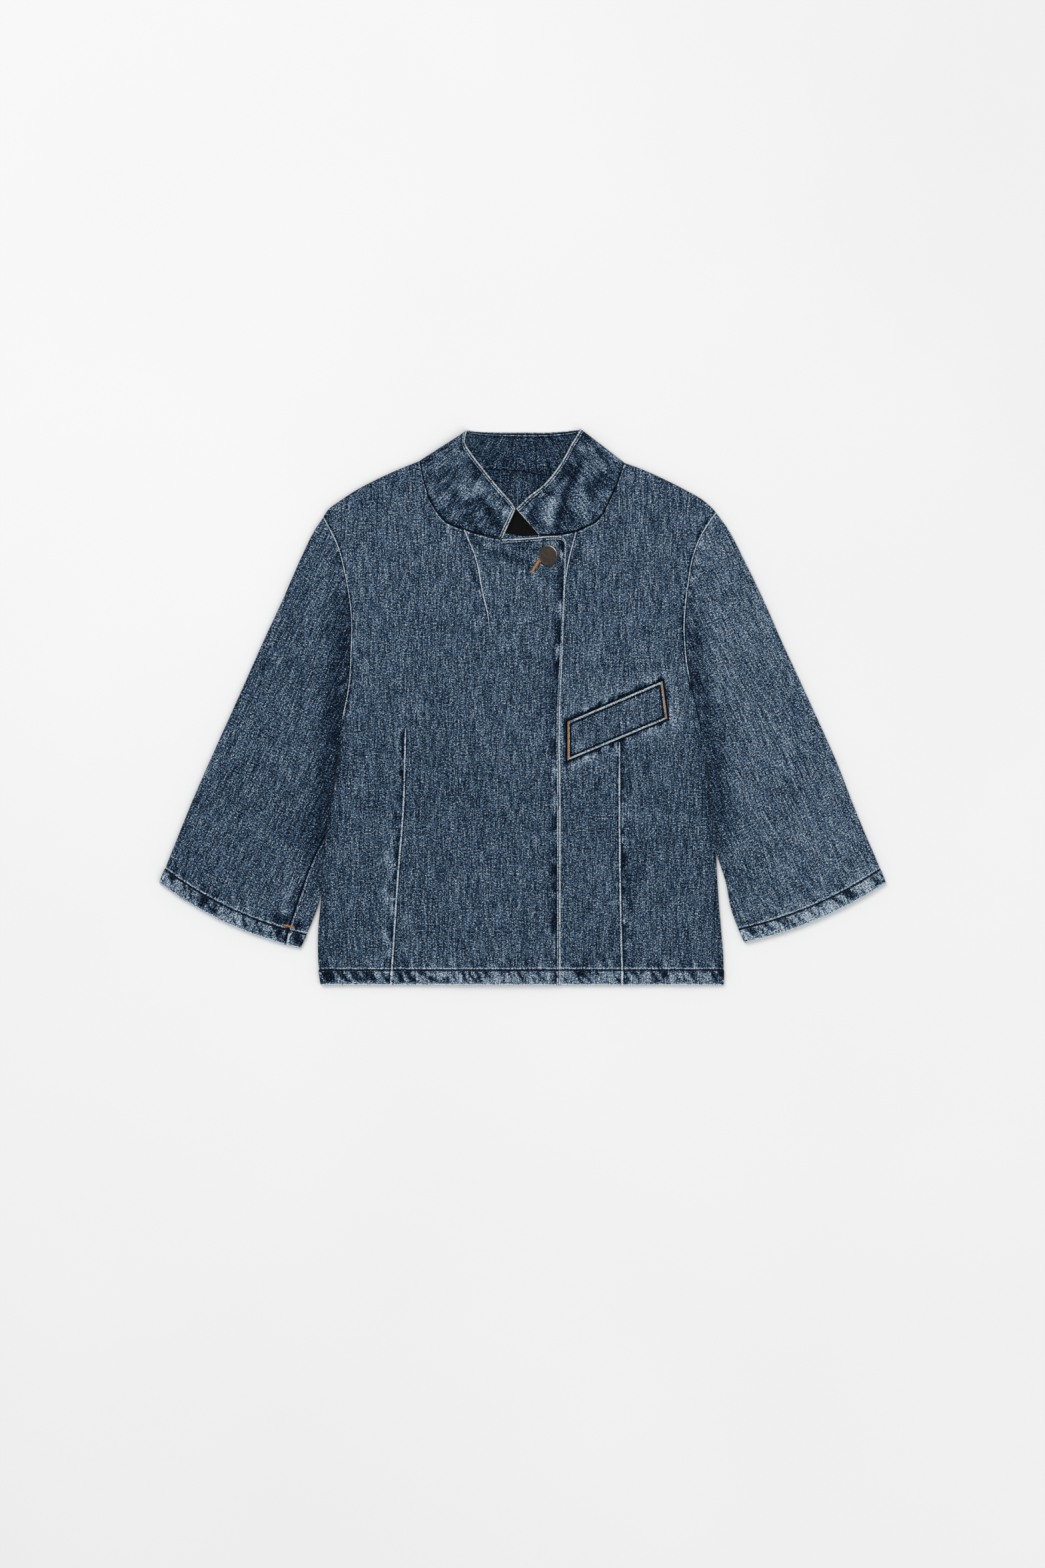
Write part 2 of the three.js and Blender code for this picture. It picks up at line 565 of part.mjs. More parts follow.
// Facing: hangs from the back neck seam, shorter towards its two ends
function facingGeometry() {
  const neck = curve(BACK_NECK);
  const grid = Array.from({ length: FACING.cellsDown + 1 }, (_, j) =>
    Array.from({ length: FACING.cellsAlong + 1 }, (_, i) => {
      const share = i / FACING.cellsAlong;
      const top = neck.getPointAt(lerp(FACING.from, FACING.to, share));
      const depth = (top.y - SEAM_GAP - FACING.foot) * (1 - FACING.taper * Math.abs(2 * share - 1));
      const y = top.y - SEAM_GAP - depth * (1 - j / FACING.cellsDown);
      return new THREE.Vector3(top.x, y, FACING.middle);
    }));
  return wallGeometry(grid);
}

function labelGeometry() {
  const geometry = new THREE.BoxGeometry(LABEL.width, LABEL.height, LABEL.wall);
  return geometry.translate(LABEL.x, LABEL.y, LABEL.underside + LABEL.wall / 2);
}

// Welt: its grid spans the four corners and lies just clear of the left front
function weltGeometry() {
  const [lowerInner, lowerOuter, upperInner, upperOuter] = xy([
    WELT.lowerInner, WELT.lowerOuter, WELT.upperInner, WELT.upperOuter,
  ]);
  const above = HALF_WALL + SEAM_GAP + WELT.spare + WELT.wall / 2;
  const grid = Array.from({ length: WELT.cellsAcross + 1 }, (_, j) =>
    Array.from({ length: WELT.cellsAlong + 1 }, (_, i) => {
      const low = lowerInner.clone().lerp(lowerOuter, i / WELT.cellsAlong);
      const high = upperInner.clone().lerp(upperOuter, i / WELT.cellsAlong);
      const p = low.lerp(high, j / WELT.cellsAcross);
      return p.setZ(frontHeight("left", p.x, p.y) + above);
    }));
  return wallGeometry(grid, () => WELT.wall / 2, () => WELT.wall / 2);
}

function solidOf(geometry) {
  const bare = geometry.clone();
  bare.deleteAttribute("normal");
  bare.deleteAttribute("uv");
  const merged = mergeVertices(bare);
  return new wasm.Manifold(new wasm.Mesh({
    numProp: 3,
    vertProperties: new Float32Array(merged.getAttribute("position").array),
    triVerts: new Uint32Array(merged.getIndex().array),
  }));
}

function geometryOf(solid) {
  const { vertProperties, triVerts } = solid.getMesh();
  const geometry = new THREE.BufferGeometry();
  geometry.setAttribute("position", new THREE.Float32BufferAttribute(vertProperties, 3));
  geometry.setIndex(new THREE.Uint32BufferAttribute(triVerts, 1));
  return geometry;
}

// Eyelet and slit, cut through the right front
function buttonholeCutter() {
  const { eyeRadius, sides, length, slit, heading, depth } = BUTTONHOLE;
  const eyelet = new THREE.CylinderGeometry(eyeRadius, eyeRadius, depth, sides).rotateX(Math.PI / 2);
  const cut = new THREE.BoxGeometry(length, slit, depth).translate(length / 2, 0, 0).rotateZ(heading);
  for (const geometry of [eyelet, cut]) geometry.translate(BUTTON.x, BUTTON.y, FRONT_LAYER + LAP_LIFT);
  return solidOf(eyelet).add(solidOf(cut));
}

// Button: a shallow dome in a raised rim, tilted on its shank
function buttonGeometry() {
  const { radius, capFoot, rimFoot, rimTop, dishTop, dome } = BUTTON;
  const profile = [
    [0, capFoot], [radius * 0.9, capFoot], [radius, rimFoot], [radius, rimTop - HALF_WALL],
    [radius * 0.93, rimTop], [radius * 0.82, rimTop], [radius * 0.76, dishTop],
    [radius * 0.5, dome - HALF_WALL], [0, dome],
  ].map(([x, y]) => new THREE.Vector2(x, y));
  const tiltAxis = new THREE.Vector3(-Math.sin(BUTTON.tiltHeading), Math.cos(BUTTON.tiltHeading), 0);
  const cap = new THREE.LatheGeometry(profile, BUTTON.sides)
    .rotateX(Math.PI / 2)
    .applyMatrix4(new THREE.Matrix4().makeRotationAxis(tiltAxis, BUTTON.tilt))
    .translate(BUTTON.x, BUTTON.y, BUTTON.middle);
  const foot = FRONT_LAYER + HALF_WALL + SEAM_GAP;
  const height = BUTTON.middle - foot;
  const shank = new THREE.CylinderGeometry(BUTTON.shankRadius, BUTTON.shankRadius, height, BUTTON.shankSides)
    .rotateX(Math.PI / 2)
    .translate(BUTTON.x, BUTTON.y, foot + height / 2);
  return geometryOf(solidOf(cap).add(solidOf(shank)));
}

const jacket = new THREE.Group();

function addPiece(name, geometry, material) {
  const mesh = new THREE.Mesh(geometry, material);
  mesh.name = name;
  jacket.add(mesh);
}

addPiece("back", backGeometry(), MATERIALS.denim);
addPiece("front_left", frontGeometry("left"), MATERIALS.denim);
const rightFront = solidOf(frontGeometry("right")).subtract(buttonholeCutter());
addPiece("front_right", geometryOf(rightFront), MATERIALS.denim);
addPiece("sleeve_right", sleeveGeometry("right"), MATERIALS.denim);
addPiece("sleeve_left", sleeveGeometry("left"), MATERIALS.denim);
addPiece("collar", collarGeometry(), MATERIALS.denim);
addPiece("back_neck_facing", facingGeometry(), MATERIALS.denimInside);
addPiece("neck_label", labelGeometry(), MATERIALS.label);
addPiece("pocket_welt", weltGeometry(), MATERIALS.denim);
addPiece("button", buttonGeometry(), MATERIALS.button);

export default jacket;
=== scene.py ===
"""Short denim jacket with a stand collar, laid flat: the looks of its cloth, thread and button."""
import math

import bpy
import numpy as np
from bpy.props import FloatProperty, FloatVectorProperty, IntProperty, PointerProperty
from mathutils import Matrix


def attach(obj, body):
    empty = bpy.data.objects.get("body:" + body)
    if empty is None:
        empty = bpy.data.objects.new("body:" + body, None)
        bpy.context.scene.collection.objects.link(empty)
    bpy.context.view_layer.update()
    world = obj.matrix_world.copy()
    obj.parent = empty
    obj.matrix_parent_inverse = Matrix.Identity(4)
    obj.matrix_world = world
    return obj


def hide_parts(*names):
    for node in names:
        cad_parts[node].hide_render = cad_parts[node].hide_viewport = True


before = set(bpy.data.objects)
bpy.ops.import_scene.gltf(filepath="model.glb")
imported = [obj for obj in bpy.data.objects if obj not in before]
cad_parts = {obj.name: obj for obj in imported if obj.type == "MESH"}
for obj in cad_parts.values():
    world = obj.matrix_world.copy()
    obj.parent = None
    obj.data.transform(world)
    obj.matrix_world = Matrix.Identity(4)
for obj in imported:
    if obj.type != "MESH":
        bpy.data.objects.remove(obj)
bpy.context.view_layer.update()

bl_info = {
    "name": "Denim Jacket",
    "version": (1, 0, 0),
    "blender": (4, 5, 0),
    "location": "3D View > Sidebar > Jacket",
    "description": "Builds a short stand-collar denim jacket, laid flat, piece by piece",
    "category": "Object",
}

# The jacket is worked out in millimetres and put into its meshes in metres.
# +X is the viewer's right, +Y points from hem to collar, +Z is up, off the surface.
MM = 0.001

# Cloth walls and the heights of the layers
HALF_WALL = 0.6
SEAM_GAP = 0.3
BACK_LAYER = HALF_WALL
FRONT_LAYER = 4.8
FOLD_LEVEL = (BACK_LAYER + FRONT_LAYER) / 2
FOLD_RADIUS = (FRONT_LAYER - BACK_LAYER) / 2
LAP_LIFT = 1.6
LAP_START, LAP_END = -92, -52
HIDDEN_END, SHOWN_START = 52, 64

# Hems
HEM_HEIGHT = -299.6
HEM_DEPTH = 16.6
HEM_LIFT = 0.8
HEM_STEP = 1.2
LEFT_HEM_START = 44

# Rows of the panels' plan, as in the solids
BODY_ROWS = 18
TOP_STRETCH = 20
BEND_START = 0.5
LAST_ROW = BODY_ROWS + 2

# Edges: the flat seam's width, how much longer insets are on slanted rows, and the stretch
# over which the armhole seam turns into the side fold
FLAT_EDGE = 3.2
SHOULDER_SLANT = 1.19
SLEEVE_SLANT = 1.12
UNDERARM_BELOW, UNDERARM_ABOVE = 22, 6
FREE_EDGE = np.array([0, 0.3, 0.8, 1.4, 2.0, 2.6, 3.3, 4.3])
DART_SIDE = np.array([0, 0.5, 1.1, 1.8, 2.7])
PLAIN_SIDE = np.array([0.0])
FAR = 99.0

# Topstitching: how far in from an edge it runs, and the width of the dent that it pulls
TOPSTITCH_INSET = 2.1
TOPSTITCH_DENT = 0.55
HEM_STITCH_INSET = HEM_DEPTH - 0.7
WELT_STITCH_INSET = 2.4
LABEL_STITCH_INSET = 1.6
FINE_THREAD = 0.8

# Each piece's own numbers for noise start here
NOISE = {
    "front_right": 10, "front_left": 40, "back": 70, "sleeve_right": 100, "sleeve_left": 140,
    "collar": 200, "facing": 220, "welt": 240,
}

# Orders of a grid's rows and columns
BACKWARDS = slice(None, None, -1)
AS_IT_IS = (slice(None), slice(None))
COLUMNS_TURNED = (slice(None), BACKWARDS)
ROWS_TURNED = (BACKWARDS, slice(None))
BOTH_TURNED = (BACKWARDS, BACKWARDS)

HALVES = {
    "right": {
        "side": [
            (-217.4, HEM_HEIGHT), (-220.5, -275), (-220.6, -240), (-217.6, -207), (-216, -172),
            (-212, -134), (-204, -86), (-198.5, -45), (-194, -10), (-187.5, 26), (-185.5, 60),
            (-184.8, 87), (-186, 108), (-190.8, 138), (-199.4, 172), (-215.5, 204.5),
        ],
        "shoulder": [
            (-215.5, 204.5), (-210, 213.5), (-196, 224), (-179, 235), (-158, 246),
            (-134, 257), (-111.6, 266),
        ],
        "neck": [
            (-111.6, 266), (-108, 248), (-103, 231), (-96, 216), (-87, 203.5), (-76, 196.5),
            (-63, 192),
        ],
        "neck_to_end": [(-63, 192), (-47.5, 187), (-22, 181.5)],
        "lap_top": [(-22, 181.5), (-8, 182), (10, 183.2), (34, 185), (43.5, 183.6), (47, 178)],
        "waist_dart": [
            (-142, HEM_HEIGHT), (-135, -191), (-128.5, -105), (-126, -21), (-120, 90),
            (-111.6, 266),
        ],
        "neck_dart": [
            (-58, HEM_HEIGHT), (-48, -100), (-36, 89), (-43, 123.5), (-50, 159.5), (-63, 192),
        ],
        "collar_end": [(-8, HEM_HEIGHT), (-8, -60), (-10, 90), (-22, 181.5)],
        "front_edge": [
            (41, HEM_HEIGHT), (41, -85), (40.3, -28), (43.2, 59), (46.1, 138), (47, 178),
        ],
        "sleeve_outer": [
            (-215.5, 204.5), (-224, 192), (-240, 159.5), (-259, 116), (-279, 73), (-308, 8),
            (-337, -56.5), (-356, -100), (-369, -132), (-382, -164.5), (-391.9, -189.5),
        ],
        "sleeve_inner": [(-217.4, -200), (-220.5, -214), (-226, -229), (-233, -245), (-240, -259.8)],
        "collar_top": [
            (-60, 299), (-63, 291), (-61, 283), (-54, 272), (-40, 254), (-25, 235.5),
            (-12, 221), (-7.5, 213.5),
        ],
        "waist_dart_top": -21,
        "neck_dart_foot": 89,
        "underarm": -34,
        "armhole_line_foot": -44,
        "cuff_bow": 9,
    },
    "left": {
        "side": [
            (216.7, HEM_HEIGHT), (217, -272), (214.5, -240), (211.5, -204), (209.6, -170),
            (207.6, -130), (201.6, -93), (197, -50), (192, -24), (185, 8), (179, 38.5),
            (176, 65), (175, 86), (176.2, 108), (179, 131), (183.5, 158), (193, 184),
            (209.5, 209.5),
        ],
        "shoulder": [
            (209.5, 209.5), (206, 214), (194.4, 224.3), (175.7, 235), (154, 246), (129.6, 257),
            (110.2, 264),
        ],
        "neck": [
            (110.2, 264), (103.5, 244), (96, 227), (88, 211), (80, 201), (70, 195.5), (58, 190),
        ],
        "neck_to_end": [(58, 190), (41, 187), (18, 186)],
        "lap_top": [(18, 186), (0, 185), (-18, 188), (-42, 189)],
        "waist_dart": [
            (108, HEM_HEIGHT), (106.5, -251), (104.8, -144), (104.7, -35), (107, 80),
            (110.2, 264),
        ],
        "neck_dart": [(38, HEM_HEIGHT), (38, -100), (42, 60), (47.5, 145), (53, 171), (58, 190)],
        "collar_end": [(0, HEM_HEIGHT), (0, -60), (5, 90), (18, 186)],
        "front_edge": [(-42, HEM_HEIGHT), (-42, -85), (-42, 60), (-42, 189)],
        "sleeve_outer": [
            (209.5, 209.5), (222, 192), (239, 159.5), (260, 116), (279, 73), (309, 8),
            (338, -56.5), (355, -100), (368, -132), (382, -164.5), (391.9, -189.5),
        ],
        "sleeve_inner": [
            (209.9, -160), (214, -172), (219.6, -190), (224, -213.5), (230.4, -233), (240, -254),
        ],
        "collar_top": [
            (63, 300.3), (58.5, 292), (54, 286), (45, 269), (34, 252.5), (22, 239), (6.5, 227),
            (-7, 214),
        ],
        "waist_dart_top": -60,
        "neck_dart_foot": 134,
        "underarm": -34,
        "armhole_line_foot": 0,
        "cuff_bow": 8,
    },
}

BACK_NECK = [
    (-111.6, 266), (-80, 260.5), (-41, 257), (-4, 255), (27, 250), (60, 251), (86, 256),
    (110.2, 264),
]
COLLAR_BACK_TOP = [(-60, 299), (-39, 297.4), (4, 297), (27, 297), (50, 298.6), (63, 300.3)]

# Sleeve rows fan out from the armhole, and its cuff bows
SLEEVE_FAN = 60
CUFF_BOW_REACH = 90
SLEEVE_TONE = {"right": 0, "left": 0.09}

# Collar: cells along its front seam before and after the neck dart, heights of its free
# edge from the shoulder to the front end, and how it rises
NECK_CELLS, END_CELLS = 5, 3
FRONT_STATIONS = NECK_CELLS + END_CELLS
BACK_STATIONS = 8
COLLAR_EDGE_HEIGHTS = {
    "right": [8.4, 9, 9.6, 10.4, 11, 11, 10.4, 9.6, 9],
    "left": [8.4, 9, 9.6, 10.4, 11, 11, 10.2, 8.9, 7.5],
}
COLLAR_EASE = 0.8
COLLAR_CLEARANCE = 0.6
COLLAR_FOLD_RISE = 0.7
LEAST_SLANT = 0.35

# Broad folds of the solids' upper layer: x and y of both ends, width and height
FOLDS = [
    (-236, 60, -206, -60, 16, 2.2), (-262, 30, -230, -120, 18, 1.6),
    (-300, -60, -262, -180, 20, 1.8), (-330, -110, -300, -200, 18, 1.4),
    (-246, 128, -214, 96, 16, 1.2), (-172, 40, -186, -90, 15, 1.8),
    (-150, 150, -168, 60, 18, 1.2), (-172, -150, -168, -270, 22, 1.4),
    (-92, -150, -100, -270, 22, 1.2), (-98, 120, -84, 20, 22, 1.1),
    (228, 70, 204, -60, 16, 2.2), (258, 20, 226, -110, 18, 1.6),
    (300, -70, 264, -180, 20, 1.8), (334, -110, 306, -190, 18, 1.4),
    (240, 132, 208, 100, 16, 1.2), (164, 60, 178, -80, 15, 1.8),
    (132, 150, 150, 70, 18, 1.2), (150, -120, 158, -260, 22, 1.4),
    (78, -130, 80, -260, 16, 1.1), (96, 130, 84, 50, 20, 1.1),
]
COLLAR_FOLDS = [
    (18, 191, 40, 227, 9, 3), (49, 246, 62, 270, 8, 2.6), (30, 194, 58, 256, 7, -1.8),
    (84, 216, 74, 262, 9, 1.8), (-38, 196, -50, 236, 7, -1.8), (-56, 206, -66, 240, 9, 2.2),
    (-88, 262, -84, 244, 7, -1.4), (-24, 196, -30, 226, 8, 1.8),
]

# Finer creases, placed one by one: x and y of both ends, width and height
CREASES = {
    "front_right": [
        (-176, 214, -150, 196, 6, 0.5), (-128, 238, -112, 214, 5, -0.45),
        (-104, 214, -118, 190, 5, 0.5), (-92, 206, -98, 176, 4, -0.45),
        (-80, 196, -76, 172, 4, 0.5), (-70, 192, -60, 150, 4, -0.4),
        (-46, 180, -30, 168, 3.5, 0.55), (-44, 174, -22, 162, 3, -0.45),
        (-30, 150, -4, 136, 5, 0.4), (-12, 172, 4, 158, 4, -0.4),
        (-196, 120, -178, 112, 6, 0.5), (-188, 92, -168, 82, 5, -0.4),
        (-190, 60, -170, 62, 6, 0.45), (-192, 26, -172, 16, 5, -0.4),
        (-200, -20, -176, -40, 7, 0.5), (-206, -70, -186, -96, 7, -0.4),
        (-140, -90, -134, -130, 4, 0.5), (-141, -150, -137, -190, 4, -0.5),
        (-146, -210, -141, -250, 4, 0.5), (-122, -170, -118, -210, 6, 0.35),
        (10, 96, 34, 84, 5, 0.35), (8, 30, 32, 22, 5, -0.3),
        (12, -70, 34, -78, 5, 0.35), (14, -150, 36, -160, 5, -0.3),
        (10, -220, 34, -232, 6, 0.35), (-60, 40, -40, -30, 12, 0.4),
        (-100, -60, -84, -150, 14, -0.4), (-30, -180, -22, -270, 10, 0.4),
    ],
    "front_left": [
        (60, 178, 66, 130, 4, -0.5), (72, 188, 80, 150, 5, 0.45), (96, 214, 104, 190, 5, -0.4),
        (180, 214, 160, 196, 6, 0.45), (168, 112, 182, 110, 6, 0.5), (162, 86, 176, 82, 5, -0.4),
        (168, 46, 182, 34, 6, 0.45), (176, 0, 190, -16, 6, -0.4), (182, -60, 198, -84, 7, 0.5),
        (58, 60, 80, 22, 7, 0.5), (60, 96, 74, 70, 6, -0.35), (120, 62, 140, 40, 7, 0.4),
        (62, -70, 90, -62, 5, 0.45), (110, -48, 140, -34, 4, -0.5), (94, -76, 100, -110, 4, 0.5),
        (112, -80, 114, -150, 4, -0.45), (112, -170, 116, -230, 4, 0.5),
        (60, -140, 70, -210, 8, -0.35), (130, -60, 150, -140, 10, 0.4),
        (180, -130, 196, -200, 9, -0.4), (134, -190, 140, -270, 9, 0.4),
    ],
    "sleeve_right": [
        (-210, 150, -228, 128, 7, 0.5), (-200, 112, -222, 88, 7, -0.4),
        (-198, 76, -226, 50, 7, 0.5), (-206, 20, -222, -30, 8, -0.5),
        (-222, -40, -236, -110, 8, 0.5), (-240, -96, -252, -170, 8, -0.5),
        (-288, 20, -268, -60, 12, 0.4), (-318, -50, -290, -140, 12, -0.4),
        (-352, -120, -338, -170, 9, 0.4), (-262, -150, -250, -196, 7, 0.4),
        (-222, -140, -240, -190, 5, 0.6), (-236, -170, -250, -220, 5, -0.6),
    ],
    "sleeve_left": [
        (206, 158, 226, 134, 7, 0.5), (196, 112, 220, 92, 7, -0.4), (192, 72, 222, 48, 7, 0.5),
        (204, 10, 222, -36, 8, -0.5), (216, -46, 230, -112, 8, 0.5),
        (232, -96, 246, -170, 8, -0.5), (284, 20, 264, -60, 12, 0.4),
        (316, -50, 290, -140, 12, -0.4), (350, -120, 336, -170, 9, 0.4),
        (212, -140, 226, -196, 5, 0.6), (256, -160, 244, -206, 7, -0.4),
    ],
    "back": [
        (-60, 230, -40, 150, 12, 0.5), (50, 224, 36, 150, 12, 0.45), (-170, 120, -150, 40, 12, 0.5),
        (166, 110, 150, 30, 12, 0.5), (-190, -60, -150, -130, 14, 0.5),
        (184, -70, 150, -140, 14, 0.5), (-90, -160, -96, -270, 12, 0.5),
        (30, -140, 38, -262, 12, 0.5), (110, -170, 104, -270, 12, 0.5),
        (-30, 60, -36, -60, 14, 0.4),
    ],
    "collar": [
        (-100, 236, -86, 222, 4, 0.6), (-78, 216, -64, 206, 4, -0.5),
        (-46, 214, -34, 206, 4, 0.7), (-38, 226, -30, 214, 3, -0.5),
        (-60, 246, -54, 230, 4, 0.5), (-72, 262, -64, 248, 4, 0.4), (20, 222, 30, 212, 3, -0.6),
        (38, 236, 48, 222, 3.5, 0.7), (46, 214, 60, 202, 5, -0.5), (60, 240, 70, 222, 5, 0.5),
        (80, 250, 92, 236, 5, -0.4), (6, 216, 22, 204, 4, -0.6), (64, 206, 84, 212, 5, 0.4),
        (-20, 272, -24, 262, 6, 0.4), (20, 280, 26, 266, 6, 0.4),
    ],
}

# Rubbed and darker places: x and y of both ends, width and change of tone. The pale entries are
# rubbed places; the darker ones are partly darker cloth and partly painted shade, in the hollows
# between the collar's folds, beside seams and under the button's edge.
RUBBED_AND_SHADED = {
    "front_right": [
        (-30, 169, 7, 156, 3.5, -0.17), (-9, 176, 17, 169, 3, -0.2), (-2, 168, 16, 173, 1.6, 0.16),
        (40, 174, 41, 153, 2.6, 0.17), (12, 165, 15, 156, 3, 0.12), (20, 160, 9, 146, 3, -0.2),
        (14, 178.5, 38, 177, 2.6, 0.16), (37, 155, 36, 142, 3, 0.1), (42, 183, 46, 176, 2.2, 0.26),
        (-44, 178, -26, 170, 2.2, 0.16), (-56, 180, -36, 165, 2.5, -0.14),
        (-84, 198, -74, 176, 3, 0.12), (-60, 170, -46, 130, 3, -0.12), (-46, 160, -38, 118, 3, 0.1),
        (-146, -150, -141, -180, 3, 0.14), (-148, -190, -143, -225, 3.5, 0.16),
        (-150, -240, -145, -268, 3.5, 0.16), (-139, -110, -137, -150, 2.4, -0.14),
        (-145, -200, -143, -240, 2.4, -0.16),
    ],
    "front_left": [
        (62, 180, 58, 156, 3, -0.16), (70, 186, 78, 160, 2.6, 0.12), (56, 60, 100, 78, 10, 0.04),
        (52, -64, 74, -58, 4, 0.14), (120, -34, 150, -22, 5, 0.08), (114, -60, 118, -110, 3, -0.13),
        (120, -70, 124, -120, 4, 0.08), (114, -160, 118, -230, 3, -0.12),
    ],
    "sleeve_right": [
        (-269, -224, -252, -227, 3.4, -0.3), (-246, -228, -234, -237, 3.6, -0.3),
        (-262, -216, -254, -222, 2.2, 0.16), (-266, -242, -262, -256, 2.6, -0.25),
        (-256, -240, -243, -247, 3.6, 0.2), (-248, -170, -256, -220, 5, 0.08),
    ],
    "sleeve_left": [
        (240, -232, 252, -226, 4, -0.18), (222, -120, 240, -190, 5, 0.06),
    ],
    "collar": [
        (-50, 247, -39, 231, 5, 0.3), (-36, 227, -22, 212, 5, 0.26), (-20, 212, -11, 207, 4, 0.36),
        (-45, 225, -32, 195, 4, -0.42), (-28, 201, -24, 188, 3, -0.4), (-63, 203, -44, 190, 4.5, -0.3),
        (-66, 244, -55, 224, 6, 0.16), (-16, 206, -20, 192, 2.6, 0.24), (-98, 236, -84, 216, 4, 0.16),
        (-80, 240, -66, 214, 5, -0.2), (-58, 262, -48, 246, 4, -0.24), (-40, 212, -34, 206, 2, 0.24),
        (5, 212, 24, 229, 4, 0.22), (24, 229, 46, 249, 4, 0.2), (38, 223, 23, 196, 6.5, 0.42),
        (5, 206, 20, 222, 2.2, -0.4), (20, 222, 34, 233, 2.2, -0.42), (34, 233, 52, 260, 2.4, -0.42),
        (6, 206, 15, 198, 3.4, -0.5), (43, 224, 62, 272, 3.4, -0.4), (48, 223, 36, 193, 4, -0.34),
        (66, 279, 53, 249, 2.4, 0.26), (56, 214, 80, 216, 5, 0.12), (64, 240, 76, 222, 4, -0.2),
    ],
    "facing": [(-4.5, 246, -3.5, 224, 1.3, 0.32), (4, 244, 8, 230, 1.2, 0.24)],
}

# Welt pocket on the left front, with its corners
WELT = {
    "lower_inner": (48.7, -57), "lower_outer": (156, -12), "upper_inner": (48.7, -15.5),
    "upper_outer": (150.7, 28.4), "wall": 1.4, "spare": 0.25,
}
WELT_OUTLINE = [WELT[key] for key in ("lower_inner", "lower_outer", "upper_outer", "upper_inner")]
WELT_FOOT = -36
FACING = {"start": 0.11, "end": 0.89, "foot": 170, "taper": 0.25, "middle": 2.1}
LABEL = {"x": -2, "y": 196, "width": 56, "height": 36, "underside": 3, "wall": 0.9}
BUTTON = {
    "x": 28.3, "y": 163.3, "radius": 10.8, "tilt": 0.45, "heading": 3.4, "middle": 13.8,
    "shank": 2.6,
}
# reach is half the length of its threads at its two ends
BUTTONHOLE = {
    "end": (9.4, 145.4), "heading": -2.165, "length": 19, "threads": 34, "reach": (2.1, 1.2),
    "radius": 0.34,
}
# Underarm seam that shows on the right sleeve's front, from the fold to the cuff
UNDERARM_SEAM = [(-212, -134), (-229, -171), (-243, -211), (-252, -238), (-257, -262)]
UNDERARM_TACK = {"x": -251.5, "y": -236, "reach": 5.5, "slant": 1.4, "width": 2.2}
WELT_TACK = {"inset": 1.1, "width": 1.35}
TACK_THREAD = 0.26
TACK_LIFT = 0.15
# Loose ends of cream thread beside the buttonhole
FRAYED = {
    "starts": [(19.4, 154.6), (20.2, 153.0), (21.4, 153.8), (22.6, 152.4)],
    "ends": [(22.2, 153.2), (23.4, 152.2), (20.6, 151.6), (19.8, 153.4)],
    "radius": 0.3, "color": (0.45, 0.43, 0.36),
}
UP = np.array([0.0, 0.0, 1.0])

# The picture's height and the row of the jacket's middle in pixels, and millimetres a pixel
PICTURE = {"height": 2352, "middle_row": 1061.5, "scale": 0.72}
FLOOR = {"half": 5.0, "height": -0.0004}
# Lamps: place, size, and share of the lamp power
LAMPS = {"main_lamp": ((-1.1, 1.3, 3.2), 2.2, 1.0), "low_lamp": ((1.4, -1.6, 3.0), 2.4, 0.55)}

# Faces of the finished pieces, which the sewing follows
FACES = {}
SEWN_FACES = (
    "front_right", "front_left", "back", "sleeve_right", "sleeve_left", "collar", "welt", "label",
)


def colour_property(name, description, default):
    return FloatVectorProperty(
        name=name, description=description, default=default, min=0, max=1, size=3,
        subtype="COLOR")


def length_property(name, description, default, low, high):
    return FloatProperty(
        name=name, description=description, default=default, min=low, max=high,
        subtype="DISTANCE", unit="LENGTH")


class JacketSettings(bpy.types.PropertyGroup):
    """Sizes and colours that a user would change."""

    column_step: FloatProperty(
        name="Column step", description="Distance between columns of points across a panel, in mm",
        default=1.9, min=1, max=10)
    row_step: FloatProperty(
        name="Row step", description="Distance between rows of points up a panel, in mm",
        default=2.6, min=1, max=10)
    pucker: FloatProperty(
        name="Pucker", description="How strongly hems, darts and seams are puckered",
        default=1.0, min=0, max=2)
    waviness: FloatProperty(
        name="Waviness", description="Height of the small waves of washed cloth, in mm",
        default=0.35, min=0, max=1)
    stitch_pitch: length_property(
        "Stitch pitch", "Length of one stitch and the gap after it", 0.0031, 0.001, 0.01)
    thread_radius: length_property(
        "Thread radius", "Radius of the sewing thread", 0.00032, 0.0001, 0.001)
    indigo: colour_property("Indigo", "Colour of unworn yarn", (0.0018, 0.0090, 0.0265))
    washed: colour_property(
        "Washed blue", "Colour of the washed cloth as a whole", (0.0310, 0.0680, 0.1220))
    rubbed: colour_property(
        "Rubbed", "Colour of yarn that stands out and is rubbed", (0.1500, 0.2280, 0.3200))
    bleached: colour_property(
        "Bleached", "Colour of folded edges where the dye is gone", (0.5300, 0.5950, 0.6400))
    navy_thread: colour_property("Navy thread", "Colour of the seams' thread", (0.0100, 0.0170, 0.0320))
    orange_thread: colour_property(
        "Orange thread", "Colour of bar tacks and the buttonhole", (0.5000, 0.2250, 0.0400))
    camera_height: length_property(
        "Camera height", "Distance of the camera above the surface", 3.0, 1, 10)
    lamp_power: FloatProperty(
        name="Lamp power", description="Power of the main lamp, in watts", default=58, min=0)
    sky: FloatProperty(
        name="Sky", description="Strength of the even light from all round", default=0.52, min=0)
    seed: IntProperty(name="Seed", description="Start of the random waves", default=7, min=0)


def settings():
    return bpy.context.scene.jacket


def lerp(a, b, share):
    return a + (b - a) * share


def smoothstep(x, low, high):
    """3t² - 2t³, where t is how far x has gone from low to high."""
    t = np.clip((x - low) / (high - low), 0, 1)
    return t * t * (3 - 2 * t)


def bell(x, width):
    """exp(-(x / width)²)"""
    return np.exp(-((x / width) ** 2))


